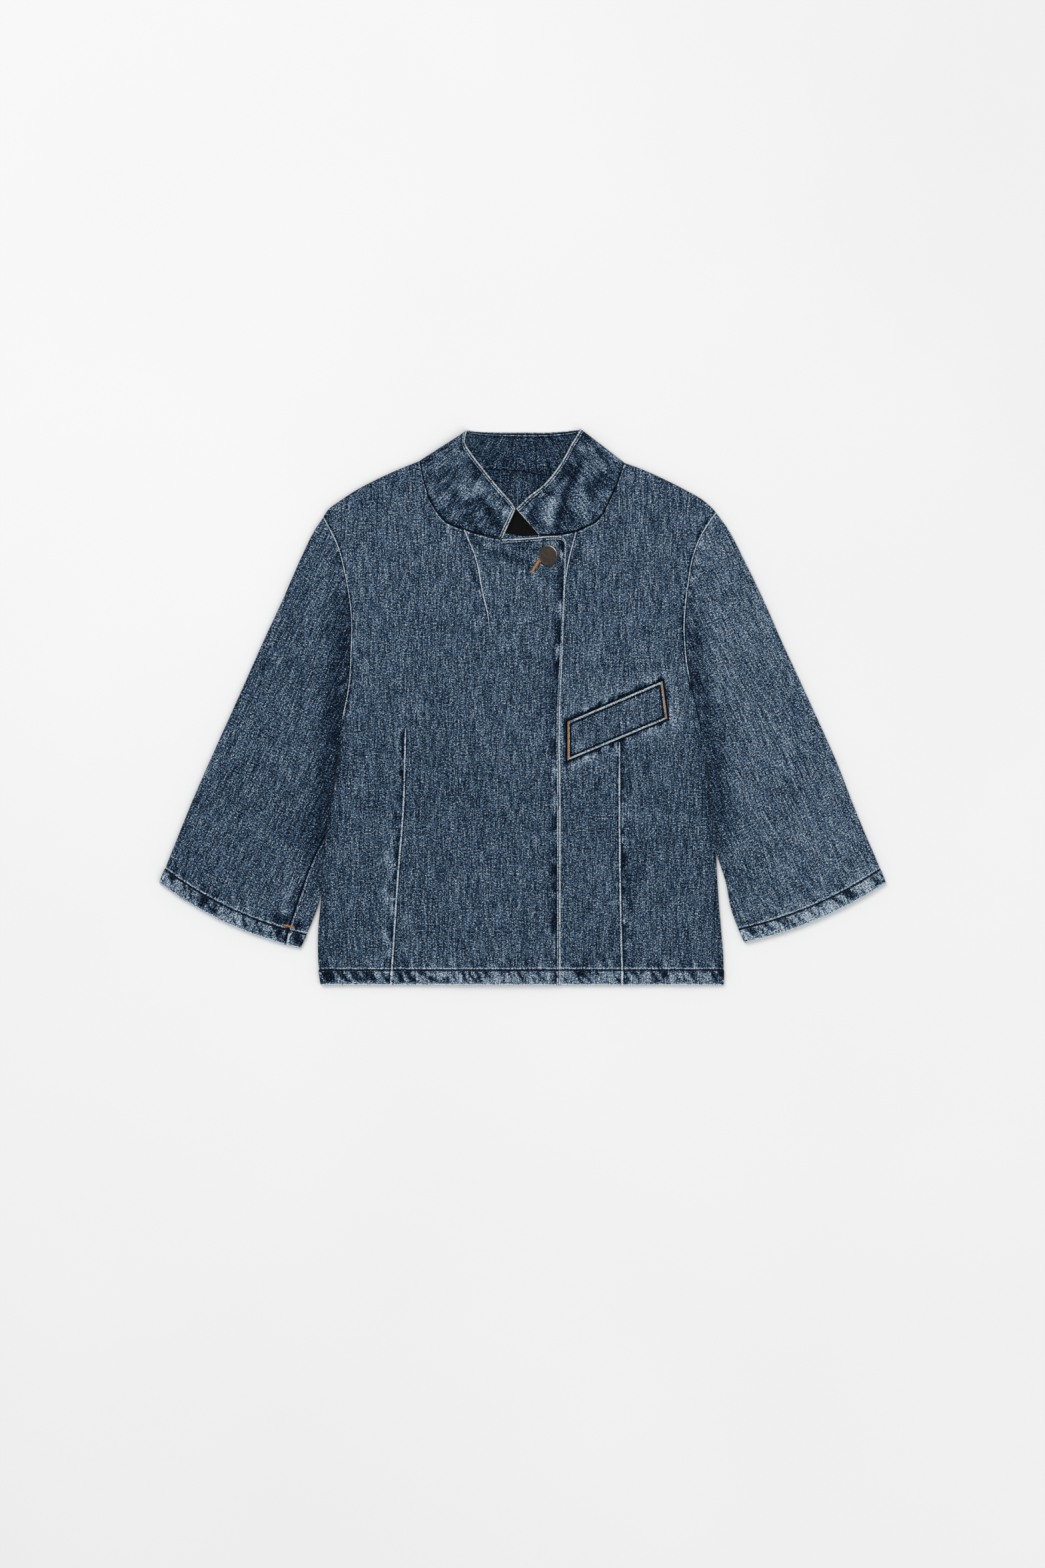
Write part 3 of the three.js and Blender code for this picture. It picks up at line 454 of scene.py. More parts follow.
def noise(u, v, number):
    """Smooth random values from -1 to 1.

    Whole-number points hold seeded random values. Between them the value is blended along
    both axes by the smooth step 3t² - 2t³.
    """
    size = 256
    values = np.random.default_rng(settings().seed * 1000 + number).uniform(-1, 1, (size, size))
    column = np.floor(u).astype(int)
    row = np.floor(v).astype(int)
    s = smoothstep(u - column, 0, 1)
    t = smoothstep(v - row, 0, 1)

    def at(right, up):
        return values[(column + right) % size, (row + up) % size]

    return lerp(lerp(at(0, 0), at(1, 0), s), lerp(at(0, 1), at(1, 1), s), t)


class Line:
    """Smooth line through points, measured by its length.

    Each span is a centripetal Catmull-Rom cubic: tangents come from the neighbouring points,
    weighed by the square roots of the distances between them. The ends are mirrored outwards.
    """

    def __init__(self, points, steps=400):
        p = np.asarray(points, float)
        p = np.vstack([2 * p[0] - p[1], p, 2 * p[-1] - p[-2]])
        spans = len(p) - 3
        place = np.linspace(0, spans, steps + 1)
        i = np.minimum(place.astype(int), spans - 1)
        w = (place - i)[:, None]
        a, b, c, d = (p[i + k] for k in range(4))
        first, middle, last = (
            np.sqrt(np.linalg.norm(end - start, axis=1))[:, None]
            for start, end in ((a, b), (b, c), (c, d))
        )
        leave = ((b - a) / first - (c - a) / (first + middle)) * middle + (c - b)
        arrive = ((d - c) / last - (d - b) / (middle + last)) * middle + (c - b)
        square = 3 * (c - b) - 2 * leave - arrive
        cube = 2 * (b - c) + leave + arrive
        self.follow(b + leave * w + square * w**2 + cube * w**3)

    def follow(self, points):
        """Takes dense points as the line itself."""
        self.points = points
        steps = np.linalg.norm(np.diff(points, axis=0), axis=1)
        self.lengths = np.concatenate([[0], np.cumsum(steps)])
        self.length = self.lengths[-1]
        return self

    def at(self, distance):
        axes = range(self.points.shape[1])
        return np.stack([np.interp(distance, self.lengths, self.points[:, k]) for k in axes], -1)

    def share(self, share):
        return self.at(np.asarray(share) * self.length)


def unit(vectors):
    return vectors / np.maximum(np.linalg.norm(vectors, axis=-1, keepdims=True), 1e-9)


def fold_height(folds, x, y):
    """Sum of straight ridges: each falls off as a bell with the distance from its line."""
    height = np.zeros_like(x)
    for x0, y0, x1, y1, width, high in folds:
        dx, dy = x1 - x0, y1 - y0
        along = np.clip(((x - x0) * dx + (y - y0) * dy) / (dx * dx + dy * dy), 0, 1)
        height += high * bell(np.hypot(x - x0 - along * dx, y - y0 - along * dy), width)
    return height


def crease_height(creases, x, y):
    """Like fold_height, but each crease fades to its ends as a half sine and wanders a little."""
    height = np.zeros_like(x)
    for number, (x0, y0, x1, y1, width, high) in enumerate(creases):
        dx, dy = x1 - x0, y1 - y0
        length = math.hypot(dx, dy)
        along = ((x - x0) * dx + (y - y0) * dy) / length**2
        across = ((x - x0) * dy - (y - y0) * dx) / length
        bend = width * 0.6 * np.sin(2.6 * along + number)
        fade = np.sin(math.pi * np.clip((along + 0.1) / 1.2, 0, 1)) ** 0.7
        height += high * fade * bell(across - bend, width)
    return height


def front_height(name, x, y):
    """Height of the middle of the upper layer: the layer, the lap's climb and the folds."""
    lap = LAP_LIFT * smoothstep(x, LAP_START, LAP_END) if name == "right" else 0
    shown = smoothstep(x, HIDDEN_END, SHOWN_START) if name == "left" else 1
    return FRONT_LAYER + lap + shown * fold_height(FOLDS, x, y)


def side_roll(half, y):
    return 1 - smoothstep(y, half["underarm"] - UNDERARM_BELOW, half["underarm"] + UNDERARM_ABOVE)


def edge_lines(rolled, slant=1.0, clearance=SEAM_GAP / 2, count=8):
    """Insets and shares of lift of the lines beside an edge, for each value of rolled.

    A rolled edge is a quarter circle: inset 1 - cos(a) and lift sin(a), in fold radii. A flat
    one is evenly spaced at full lift. rolled blends the two.
    """
    rolled = np.atleast_1d(rolled)[:, None]
    turn = np.linspace(0.07, math.pi / 2, count)[None]
    quarter = HALF_WALL + (1 - np.cos(turn)) * FOLD_RADIUS
    flat = FLAT_EDGE * (np.arange(count) / (count - 1))[None] ** 1.3
    inset = slant * (clearance + lerp(flat, quarter, rolled))
    return inset, lerp(np.ones_like(inset), np.sin(turn), rolled)


def beside_armhole(half, y):
    """0 below the underarm, rising to 1 up the armhole."""
    return smoothstep(y, half["underarm"] - 10, half["underarm"] + 40)


def hem_band(up):
    """1 on the turned hem, falling to 0 over its step."""
    return 1 - smoothstep(up, HEM_DEPTH - HEM_STEP, HEM_DEPTH + HEM_STEP / 2)


def row_distances(length):
    start = HEM_DEPTH + HEM_STEP / 2
    even = np.linspace(start, length - TOP_STRETCH, BODY_ROWS)
    return np.concatenate([[0, HEM_DEPTH - HEM_STEP / 2], even, [length]])


def spread(width, start, end, step):
    """Shares across a strip: insets from both edges, and even steps between them."""
    head = np.broadcast_to(start, (len(width), start.shape[-1])) / width[:, None]
    tail = 1 - np.broadcast_to(end, (len(width), end.shape[-1]))[:, ::-1] / width[:, None]
    count = max(2, round(float(np.median(width)) / step))
    middle = lerp(head[:, -1:], tail[:, :1], (np.arange(1, count) / count)[None])
    return np.concatenate([head, middle, tail], axis=1)


def panel_plan(guides, tops, insets, side_rolls, top_roll, step, row_step):
    """Plan of a panel: points (row, column, xy), shares of lift, and the guides' columns.

    Rows run between guide lines. A point is the blend of two guides at its row, plus the bow
    of the top edge from its chord, which grows as a smooth step from half height to the top.
    The last stretch runs straight from the last even row to lines beside the top edge.
    """
    first = np.concatenate([[0, 0.02, 0.06], np.linspace(0.13, 1, 11)])
    cells = round((guides[0].length - HEM_DEPTH - TOP_STRETCH) / (BODY_ROWS - 1) / row_step)
    rows = np.concatenate([first, [1.5], np.linspace(2, LAST_ROW - 1, (BODY_ROWS - 1) * cells + 1)])
    rows = np.concatenate([rows, [LAST_ROW]])
    bend = smoothstep(rows / LAST_ROW, BEND_START, 1)
    index = np.arange(LAST_ROW + 1)
    lines = [g.at(np.interp(rows, index, row_distances(g.length))) for g in guides]
    parts = []
    lifts = []
    for k, top in enumerate(tops):
        low, high = lines[k], lines[k + 1]
        chord_length = np.linalg.norm(high - low, axis=1)
        width = lerp(chord_length, max(top.length, 1), bend)
        start, end = insets[k]
        lift_start = lift_end = None
        if start is None:
            start, lift_start = edge_lines(side_rolls[0](low))
        if end is None:
            end, lift_end = edge_lines(side_rolls[1](high))
        shares = spread(width, np.atleast_2d(start), np.atleast_2d(end), step)
        s = shares[..., None]
        chord = lerp(top.points[0], top.points[-1], s)
        part = lerp(low[:, None], high[:, None], s) + bend[:, None, None] * (top.share(shares) - chord)
        lift = np.ones(shares.shape)
        if lift_start is not None:
            lift[:, :lift_start.shape[1]] = lift_start
        if lift_end is not None:
            lift[:, -lift_end.shape[1]:] = lift_end[:, ::-1]
        parts.append(part if k == 0 else part[:, 1:])
        lifts.append(lift if k == 0 else lift[:, 1:])
    columns = np.cumsum([part.shape[1] for part in parts]) - 1
    plan = np.concatenate(parts, axis=1)
    lift = np.concatenate(lifts, axis=1)
    top, below = plan[-1], plan[-2]
    rolled = top_roll(top)
    inset, lines_lift = edge_lines(rolled, 1.0)
    inset = lerp(inset, edge_lines(rolled, SHOULDER_SLANT, 0)[0], rolled[:, None])
    whole = np.linalg.norm(below - top, axis=1)
    between = lerp(whole[:, None], inset[:, -1:], (np.arange(1, 8) / 8)[None])
    distance = np.concatenate([between, inset[:, ::-1]], axis=1).T
    top_rows = top[None] + unit(below - top)[None] * distance[..., None]
    top_lift = np.concatenate([np.ones((len(top), 7)), lines_lift[:, ::-1]], axis=1).T
    plan = np.concatenate([plan[:-1], top_rows])
    lift = np.concatenate([lift[:-1], np.minimum(top_lift, lift[-1][None])])
    return plan, lift, columns


def runs(grid, axis):
    """Length travelled along the grid from its first row or column."""
    steps = np.linalg.norm(np.diff(grid, axis=axis), axis=-1)
    shape = list(steps.shape)
    shape[axis] = 1
    return np.concatenate([np.zeros(shape), np.cumsum(steps, axis=axis)], axis=axis)


def runs_left(grid, axis):
    """Length left along the grid to its last row or column."""
    run = runs(grid, axis)
    return run.take([-1], axis) - run


def normals_of(grid):
    """Cross product of the directions across and up the grid, taken between neighbours."""
    across = np.empty_like(grid)
    up = np.empty_like(grid)
    across[:, 1:-1] = grid[:, 2:] - grid[:, :-2]
    across[:, 0] = grid[:, 1] - grid[:, 0]
    across[:, -1] = grid[:, -1] - grid[:, -2]
    up[1:-1] = grid[2:] - grid[:-2]
    up[0] = grid[1] - grid[0]
    up[-1] = grid[-1] - grid[-2]
    return unit(np.cross(across, up))


def mesh_object(name, points, quads, triangles=None, angle=50):
    """New object from points in millimetres and arrays of faces, shaded smooth."""
    mesh = bpy.data.meshes.new(name)
    loops = quads.ravel()
    starts = np.arange(len(quads)) * 4
    if triangles is not None:
        starts = np.concatenate([starts, len(loops) + np.arange(len(triangles)) * 3])
        loops = np.concatenate([loops, triangles.ravel()])
    mesh.vertices.add(len(points))
    mesh.vertices.foreach_set("co", (points * MM).astype(np.float32).ravel())
    mesh.loops.add(len(loops))
    mesh.loops.foreach_set("vertex_index", loops.astype(np.int32))
    mesh.polygons.add(len(starts))
    mesh.polygons.foreach_set("loop_start", starts.astype(np.int32))
    mesh.update(calc_edges=True)
    mesh.validate()
    mesh.shade_smooth()
    mesh.set_sharp_from_angle(angle=math.radians(angle))
    return link(name, mesh)


def give(made, name, values):
    """Stores one number for each vertex."""
    attribute = made.data.attributes.new(name, "FLOAT", "POINT")
    attribute.data.foreach_set("value", values.astype(np.float32).ravel())


def give_map(made, name, places):
    """Stores a flat map in metres: each corner has its vertex's place."""
    layer = made.data.uv_layers.new(name=name)
    corners = np.empty(len(made.data.loops), np.int32)
    made.data.loops.foreach_get("vertex_index", corners)
    layer.data.foreach_set("uv", (places.reshape(-1, 2)[corners] * MM).astype(np.float32).ravel())


def wall(name, grid, outside, inside, marks, grain, floor=False):
    """Closed wall of cloth round a grid of points in its middle, and its two faces.

    The outer face is the grid moved along its normals by outside, and the inner face by
    inside the other way. A strip of quads round the rim joins them. Marks are numbers for
    the cloth's finish, and grain is the place of each point on the flat cloth.
    """
    rows, columns = grid.shape[:2]
    normals = normals_of(grid)
    outer = grid + normals * outside[..., None]
    inner = grid - normals * inside[..., None]
    if floor:
        outer[..., 2] = np.maximum(outer[..., 2], 0)
        inner[..., 2] = np.maximum(inner[..., 2], 0)
    number = np.arange(rows * columns).reshape(rows, columns)
    other = number + rows * columns

    def quads(a, b, c, d):
        return np.stack([a, b, c, d], -1).reshape(-1, 4)

    faces = [
        quads(number[:-1, :-1], number[:-1, 1:], number[1:, 1:], number[1:, :-1]),
        quads(other[:-1, :-1], other[1:, :-1], other[1:, 1:], other[:-1, 1:]),
        quads(number[:-1, 0], number[1:, 0], other[1:, 0], other[:-1, 0]),
        quads(number[1:, -1], number[:-1, -1], other[:-1, -1], other[1:, -1]),
        quads(number[0, 1:], number[0, :-1], other[0, :-1], other[0, 1:]),
        quads(number[-1, :-1], number[-1, 1:], other[-1, 1:], other[-1, :-1]),
    ]
    points = np.concatenate([outer.reshape(-1, 3), inner.reshape(-1, 3)])
    made = mesh_object(name, points, np.concatenate(faces))
    for mark, values in marks.items():
        give(made, mark, np.concatenate([values.ravel(), values.ravel()]))
    give(made, "inner_side", np.repeat([0.0, 1.0], rows * columns))
    give_map(made, "grain", np.concatenate([grain.reshape(-1, 2)] * 2))
    return made, outer, inner


def rounding(distance, radius=1.2, least=0.3):
    """Share of the wall's thickness near a free edge: a quarter circle."""
    away = 1 - np.clip(distance / radius, 0, 1)
    return np.maximum(np.sqrt(1 - away**2), least)


def hem_puckers(along, up, number):
    """Slanted ridges of a turned hem: noise stretched across the band, and fading above it."""
    slanted = along + 0.55 * up
    ridges = 1.15 * noise(slanted / 3.8, up / 17, number) + 0.5 * noise(slanted / 2.4, up / 6, number + 1)
    band = smoothstep(up, 0.2, 3) * (1 - smoothstep(up, HEM_DEPTH - 1.6, HEM_DEPTH - 0.3))
    above = smoothstep(up, HEM_DEPTH, HEM_DEPTH + 2) * bell(np.maximum(up - HEM_DEPTH - 2, 0), 9)
    return ridges * (band + 0.5 * above)


def hem_wear(along, up, puckers, number):
    """Tone of a hem: a pale band with dark hollows, and fainter ones above its stitches."""
    share = up / HEM_DEPTH
    band = 1 - smoothstep(up, HEM_DEPTH - 0.9, HEM_DEPTH - 0.3)
    hollows = smoothstep(-puckers, -0.04, 0.5) * smoothstep(share, 0.04, 0.42)
    patches = 0.5 + 0.5 * noise(along / 21, up / 30, number)
    above = smoothstep(up, HEM_DEPTH + 2, HEM_DEPTH + 4) * np.clip(puckers, -0.6, 0.4)
    return band * (0.19 + 0.2 * patches - 0.68 * hollows) + 0.6 * above


def seam_puckers(along, away, reach, number):
    """Short ridges square to a seam: noise along it, fading with the distance from it."""
    ridges = noise(along / 4.6, away / 9, number) + 0.5 * noise(along / 2.4, away / 5, number + 1)
    return ridges * smoothstep(away, 0.2, 1.8) * bell(np.maximum(away - 2, 0), reach)


def cloth_waves(x, y, number):
    """Small waves of washed cloth: two sizes of noise, longer along the warp."""
    return noise(x / 17, y / 30, number) + 0.5 * noise(x / 8, y / 13, number + 1)


def outside_of(corners, x, y):
    """Distance outside a convex outline, whose corners run anticlockwise; less than 0 inside."""
    away = []
    for (x0, y0), (x1, y1) in zip(corners, corners[1:] + corners[:1]):
        length = math.hypot(x1 - x0, y1 - y0)
        away.append(((x - x0) * (y1 - y0) - (y - y0) * (x1 - x0)) / length)
    return np.max(away, axis=0)


def nearest(values):
    """The value closest to zero at each point."""
    stacked = np.stack(values)
    pick = np.abs(stacked).argmin(axis=0)[None]
    return np.take_along_axis(stacked, pick, axis=0)[0]


def where_shown(values, shown):
    return np.where(shown, values, FAR)


def cloth_marks(wear_and_shade, edge, seam, topstitch=FAR, dart=FAR):
    """Numbers for the denim's finish; its change of tone holds rubbing and painted shade together. A line
    that a piece hasn't got is far away everywhere.
    """
    values = {"wear_and_shade": wear_and_shade, "edge": edge, "topstitch": topstitch, "dart": dart, "seam": seam}
    return {mark: np.broadcast_to(value, wear_and_shade.shape) for mark, value in values.items()}


def turned_grid(turn, grid, outside, inside, marks, grain):
    """The same grid with its rows or columns in another order, so that its faces point out."""
    marks = {mark: values[turn] for mark, values in marks.items()}
    return grid[turn], outside[turn], inside[turn], marks, grain[turn]


def set_inner_side(made, values):
    """Says how far each vertex shows the unrubbed inner side of the cloth, whose darker tone is painted
    shade inside the jacket.
    """
    made.data.attributes["inner_side"].data.foreach_set("value", values.astype(np.float32))


def finish_piece(made, node, material):
    """Gives a piece its material, hangs it under the root, and hides the solid that it stands for."""
    made.data.materials.append(material)
    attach(made, "root")
    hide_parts(node)


def finish_cloth(made, node):
    """Finishes a piece of denim with the denim material."""
    finish_piece(made, node, denim_material())


class Nodes:
    """Adds nodes and links to the tree of one new material."""

    def __init__(self, name):
        self.material = bpy.data.materials.new(name)
        self.material.use_nodes = True
        self.tree = self.material.node_tree
        self.tree.nodes.clear()

    def add(self, kind, inputs=None, **values):
        node = self.tree.nodes.new("ShaderNode" + kind)
        for key, value in values.items():
            setattr(node, key, value)
        for key, value in (inputs or {}).items():
            self.put(node.inputs[key], value)
        return node

    def put(self, socket, value):
        if isinstance(value, bpy.types.NodeSocket):
            self.tree.links.new(value, socket)
        else:
            socket.default_value = value

    def math(self, operation, *values, clamp=False):
        node = self.add("Math", operation=operation, use_clamp=clamp)
        for socket, value in zip(node.inputs, values):
            self.put(socket, value)
        return node.outputs[0]

    def step(self, value, low, high, start=0.0, end=1.0):
        """Smooth step of value from low to high, between the numbers start and end."""
        inputs = {"Value": value, "From Min": low, "From Max": high, "To Min": start, "To Max": end}
        return self.add("MapRange", inputs, interpolation_type="SMOOTHSTEP").outputs[0]

    def attribute(self, name):
        return self.add("Attribute", attribute_name=name).outputs["Fac"]

    def noise(self, place, across, along, detail=2.0, rough=0.55, shift=0.0):
        """Noise whose grains are about across by along, in millimetres, on a map in metres."""
        scaled = self.add("Mapping", {"Vector": place})
        scaled.inputs["Scale"].default_value = (1 / (across * MM), 1 / (along * MM), 1 / (across * MM))
        scaled.inputs["Location"].default_value = (shift, shift, shift)
        inputs = {"Vector": scaled.outputs[0], "Scale": 1.0, "Detail": detail, "Roughness": rough}
        return self.add("TexNoise", inputs).outputs["Fac"]

    def plus(self, total, value, weight):
        return self.math("MULTIPLY_ADD", value, weight, total)

    def line(self, distance, middle, half_width, soft):
        """1 within half_width of middle, falling to 0 over soft on both sides."""
        away = self.math("ABSOLUTE", self.math("SUBTRACT", distance, middle))
        return self.step(away, half_width, half_width + soft, 1.0, 0.0)

    def ramp(self, value, stops):
        node = self.add("ValToRGB", {"Fac": value})
        elements = node.color_ramp.elements
        while len(elements) < len(stops):
            elements.new(0.5)
        for element, (place, color) in zip(elements, stops):
            element.position = place
            element.color = (*color, 1)
        return node.outputs[0]

    def surface(self, color, bump=None, **numbers):
        shader = self.add("BsdfPrincipled", {"Base Color": color})
        for key, value in numbers.items():
            shader.inputs[key.replace("_", " ").title().replace("Ior", "IOR")].default_value = value
        if bump is not None:
            self.tree.links.new(bump, shader.inputs["Normal"])
        output = self.add("OutputMaterial")
        self.tree.links.new(shader.outputs[0], output.inputs["Surface"])
        return self.material


def blend(a, b, share):
    return tuple(lerp(x, y, share) for x, y in zip(a, b))


# Noise on the denim: size of its grains across and along in millimetres, detail, roughness
# and shift
DENIM_NOISE = {
    "coarse": (1.6, 1.8, 2, 0.6, 0.0),
    "fine": (0.85, 1.0, 1, 0.6, 3.1),
    "streak": (1.3, 16, 1, 0.5, 7.7),
    "slub": (3.2, 60, 2, 0.5, 12.3),
    "weft": (12, 1.7, 1, 0.5, 5.9),
    "cloud": (40, 55, 2, 0.5, 1.3),
    "broken": (2.0, 5.0, 2, 0.6, 9.1),
}
# How strongly each noise shows in the yarn, which also gives the bumps, and in the dye alone
YARN_WEIGHTS = {"coarse": 2.35, "fine": 2.3, "streak": 1.0, "weft": 0.25}
DYE_WEIGHTS = {"slub": 0.16, "cloud": 0.14}
TWILL = {"across": 1.76, "along": 2.5, "weight": 0.07, "wander": 3.0}
EVEN_TONE = 0.3
# Painted shade: the inner side of the cloth, seen inside the neck, is this much darker.
INSIDE_SHADE = -0.09
RIM_TONE = 0.76

# Lines beside edges, seams and darts: the stored distance that each follows, its middle, half
# width and softness in millimetres, its change of tone, and what breaks it up. The dark lines
# at seams and beside the darts' pale ridges are painted shade in the grooves; the pale seam and
# dart lines are rubbed ridges.
DENIM_LINES = [
    ("topstitch", 0.0, 0.35, 0.35, -0.7, None),
    ("topstitch", 1.15, 0.35, 0.35, 0.5, "uneven"),
    ("topstitch", 2.6, 0.5, 0.8, -0.26, None),
    ("seam", 0.0, 0.7, 0.5, -0.55, None),
    ("seam", 1.9, 0.55, 0.6, 0.5, "patchy"),
    ("dart", 0.0, 0.34, 0.34, 0.85, "uneven"),
    ("dart", 1.5, 0.5, 0.6, -0.38, None),
    ("dart", -1.9, 0.6, 0.8, -0.5, "dashes"),
]


def denim_tone(n):
    """Tone of washed denim, from 0, unworn, to 1, bleached, and the height of its yarn.

    The tone is a sum: yarn speckle, streaks, slubs and twill on the cloth's own grain, the
    rubbing and painted shade stored on the mesh, painted shade on the cloth's inner side, the
    rubbed rim, and the lines beside edges, seams and darts, whose dark lines at seams and darts are painted
    shade.
    """
    grain = n.add("UVMap", uv_map="grain").outputs[0]
    noises = {key: n.noise(grain, *numbers) for key, numbers in DENIM_NOISE.items()}
    stored = {key: n.attribute(key) for key in ("wear_and_shade", "edge", "topstitch", "seam", "dart")}

    def add_noises(total, weights):
        for key, weight in weights.items():
            total = n.plus(total, n.math("SUBTRACT", noises[key], 0.5), weight)
        return total

    axes = n.add("SeparateXYZ", {"Vector": grain})
    twill_place = n.math(
        "MULTIPLY_ADD", axes.outputs["Y"], -1 / (TWILL["along"] * MM),
        n.math("MULTIPLY", axes.outputs["X"], 1 / (TWILL["across"] * MM)))
    turns = n.math("MULTIPLY", twill_place, 2 * math.pi)
    twill = n.math("SINE", n.math("MULTIPLY_ADD", noises["broken"], TWILL["wander"], turns))
    yarn = n.plus(add_noises(0.0, YARN_WEIGHTS), twill, TWILL["weight"])
    tone = add_noises(n.plus(EVEN_TONE, yarn, 1.0), DYE_WEIGHTS)
    tone = n.plus(tone, stored["wear_and_shade"], 1.0)
    tone = n.plus(tone, n.attribute("inner_side"), INSIDE_SHADE)

    broken, fine = noises["broken"], noises["fine"]
    breaks = {
        "uneven": n.math(
            "MULTIPLY", n.step(broken, 0.3, 0.5, 0.6, 1.0), n.step(fine, 0.3, 0.55, 0.65, 1.0)),
        "patchy": n.step(broken, 0.36, 0.54, 0.3, 1.0),
        "dashes": n.step(broken, 0.42, 0.55, 0.0, 1.0),
    }
    rim = n.math("MULTIPLY", n.step(stored["edge"], 1.3, 1.9, 1.0, 0.0), breaks["uneven"])
    tone = n.plus(tone, rim, RIM_TONE)
    for key, middle, half_width, soft, change, broken_by in DENIM_LINES:
        line = n.line(stored[key], middle, half_width, soft)
        if broken_by:
            line = n.math("MULTIPLY", line, breaks[broken_by])
        tone = n.plus(tone, line, change)
    return n.math("ADD", tone, 0.0, clamp=True), yarn


def denim_material():
    """Washed denim: a ramp from indigo through washed blue to bleached colours its tone."""
    if "washed_denim" in bpy.data.materials:
        return bpy.data.materials["washed_denim"]
    s = settings()
    n = Nodes("washed_denim")
    tone, yarn = denim_tone(n)

    def between(a, b):
        return tuple(((x**0.45 + y**0.45) / 2) ** (1 / 0.45) for x, y in zip(a, b))

    black = blend(s.indigo, (0, 0, 0), 0.7)
    color = n.ramp(tone, [
        (0.02, black), (0.12, s.indigo), (0.26, between(s.indigo, s.washed)), (0.4, s.washed),
        (0.55, between(s.washed, s.rubbed)), (0.7, s.rubbed), (1.0, s.bleached),
    ])
    bump = n.add("Bump", {"Height": yarn, "Distance": 0.35 * MM, "Strength": 0.5})
    return n.surface(
        color, bump.outputs[0], roughness=0.92, sheen_weight=0.03, sheen_roughness=0.6,
        specular_ior_level=0.06,
    )


def thread_material(name, color):
    """Twisted thread: bands across it, paler where the twist is raised as a painted highlight, with uneven
    dye.
    """
    if name in bpy.data.materials:
        return bpy.data.materials[name]
    n = Nodes(name)
    place = n.add("TexCoord").outputs["Object"]
    uneven = n.noise(place, 1.4, 1.4, 2, 0.6)
    twist = n.noise(place, 0.28, 0.28, 1, 0.5, 4.0)
    mixed = n.plus(n.plus(0.0, uneven, 0.6), twist, 0.4)
    paler = blend(color, (0.8, 0.78, 0.72), 0.12)
    shown = n.ramp(mixed, [(0.3, blend(color, (0, 0, 0), 0.35)), (0.5, color), (0.72, paler)])
    bump = n.add("Bump", {"Height": twist, "Distance": 0.1 * MM, "Strength": 0.5})
    return n.surface(shown, bump.outputs[0], roughness=0.7, sheen_weight=0.1, specular_ior_level=0.25)


def label_material():
    """Black woven tape: fine ribs both ways under a faint unevenness."""
    n = Nodes("label_tape")
    place = n.add("TexCoord").outputs["Object"]
    across = n.noise(place, 0.5, 4, 2, 0.5)
    along = n.noise(place, 5, 0.4, 2, 0.5, 2.0)
    weave = n.plus(n.plus(0.0, across, 0.5), along, 0.5)
    shown = n.ramp(weave, [(0.35, (0.0008, 0.0008, 0.001)), (0.65, (0.005, 0.005, 0.006))])
    bump = n.add("Bump", {"Height": weave, "Distance": 0.15 * MM, "Strength": 0.5})
    return n.surface(shown, bump.outputs[0], roughness=0.8, sheen_weight=0.02, specular_ior_level=0.08)


def brass_material():
    """Dark antique brass: brown patina with fine scuffs, turning pale where the stored rim tone is high: a
    painted highlight on one side of the rim, over faint rubbing all round it.
    """
    n = Nodes("antique_brass")
    place = n.add("TexCoord").outputs["Object"]
    patina = n.noise(place, 3.5, 3.5, 3, 0.6)
    scuff = n.noise(place, 0.55, 0.8, 2, 0.7, 6.0)
    rim_wear_and_highlight = n.attribute("rim_wear_and_highlight")
    tone = n.plus(n.plus(n.plus(-0.24, patina, 0.5), scuff, 0.65), rim_wear_and_highlight, 0.8)
    shown = n.ramp(tone, [
        (0.1, (0.020, 0.016, 0.013)), (0.42, (0.066, 0.053, 0.043)), (0.7, (0.16, 0.14, 0.12)),
        (1.0, (0.72, 0.67, 0.60)),
    ])
    bump = n.add("Bump", {"Height": scuff, "Distance": 0.08 * MM, "Strength": 0.3})
    return n.surface(shown, bump.outputs[0], metallic=0.6, roughness=0.5, specular_ior_level=0.35)


# Shares of the puckers beside the fronts' seams that show as relief and as tone
FRONT_PUCKERS = {
    "outboard": {"relief": 0.3, "tone": 0.34}, "inboard": {"relief": 0.16, "tone": 0.16},
    "neck": {"relief": 0.16, "tone": 0.14}, "armhole": {"relief": 0.24, "tone": 0.22},
    "top": {"relief": 0.26, "tone": 0.2},
}


def beside_waist_dart(y, waist, number):
    """Tone outboard of the waist dart: dark dashes, and a broken pale strip further out."""
    beyond = np.where(waist < 0, -waist, FAR)
    dashes = smoothstep(noise(y / 7, beyond / 4, number + 15), -0.25, 0.3)
    strip = smoothstep(noise(y / 16, beyond / 9, number + 17), -0.1, 0.5)
    return 0.16 * strip * bell(beyond - 8, 3.5) - 0.34 * dashes * bell(beyond - 3.4, 2.4)


def around_welt(x, y, number):
    """Distance outside the welt, and the relief and tone of the front round it.

    Short strokes square to the welt fade outwards, a painted shadow lies above it, a thin
    painted dark line runs round its edge, and a faint pale halo round them.
    """
    away = outside_of(WELT_OUTLINE, x, y)
    ring = smoothstep(away, 0.5, 2.5) * bell(np.maximum(away - 4, 0), 5)
    strokes = seam_puckers(x, away, 5, number + 16)
    above = 1 - smoothstep(0.42 * x - y, 45, 65)
    # Painted shadow above the welt, and a painted dark line along its edge, both taken off the tone.
    shadow = above * bell(away - 1.4, 2.2) * (0.7 + 0.5 * noise(x / 4, y / 9, number + 18))
    tone = ring * (0.04 + 0.6 * strokes) - 0.55 * shadow - 0.3 * bell(away - 0.8, 1.6)
    tone += 0.12 * bell(np.maximum(away - 5, 0), 13) * smoothstep(away, 3, 6)
    return away, 0.3 * ring * strokes, tone


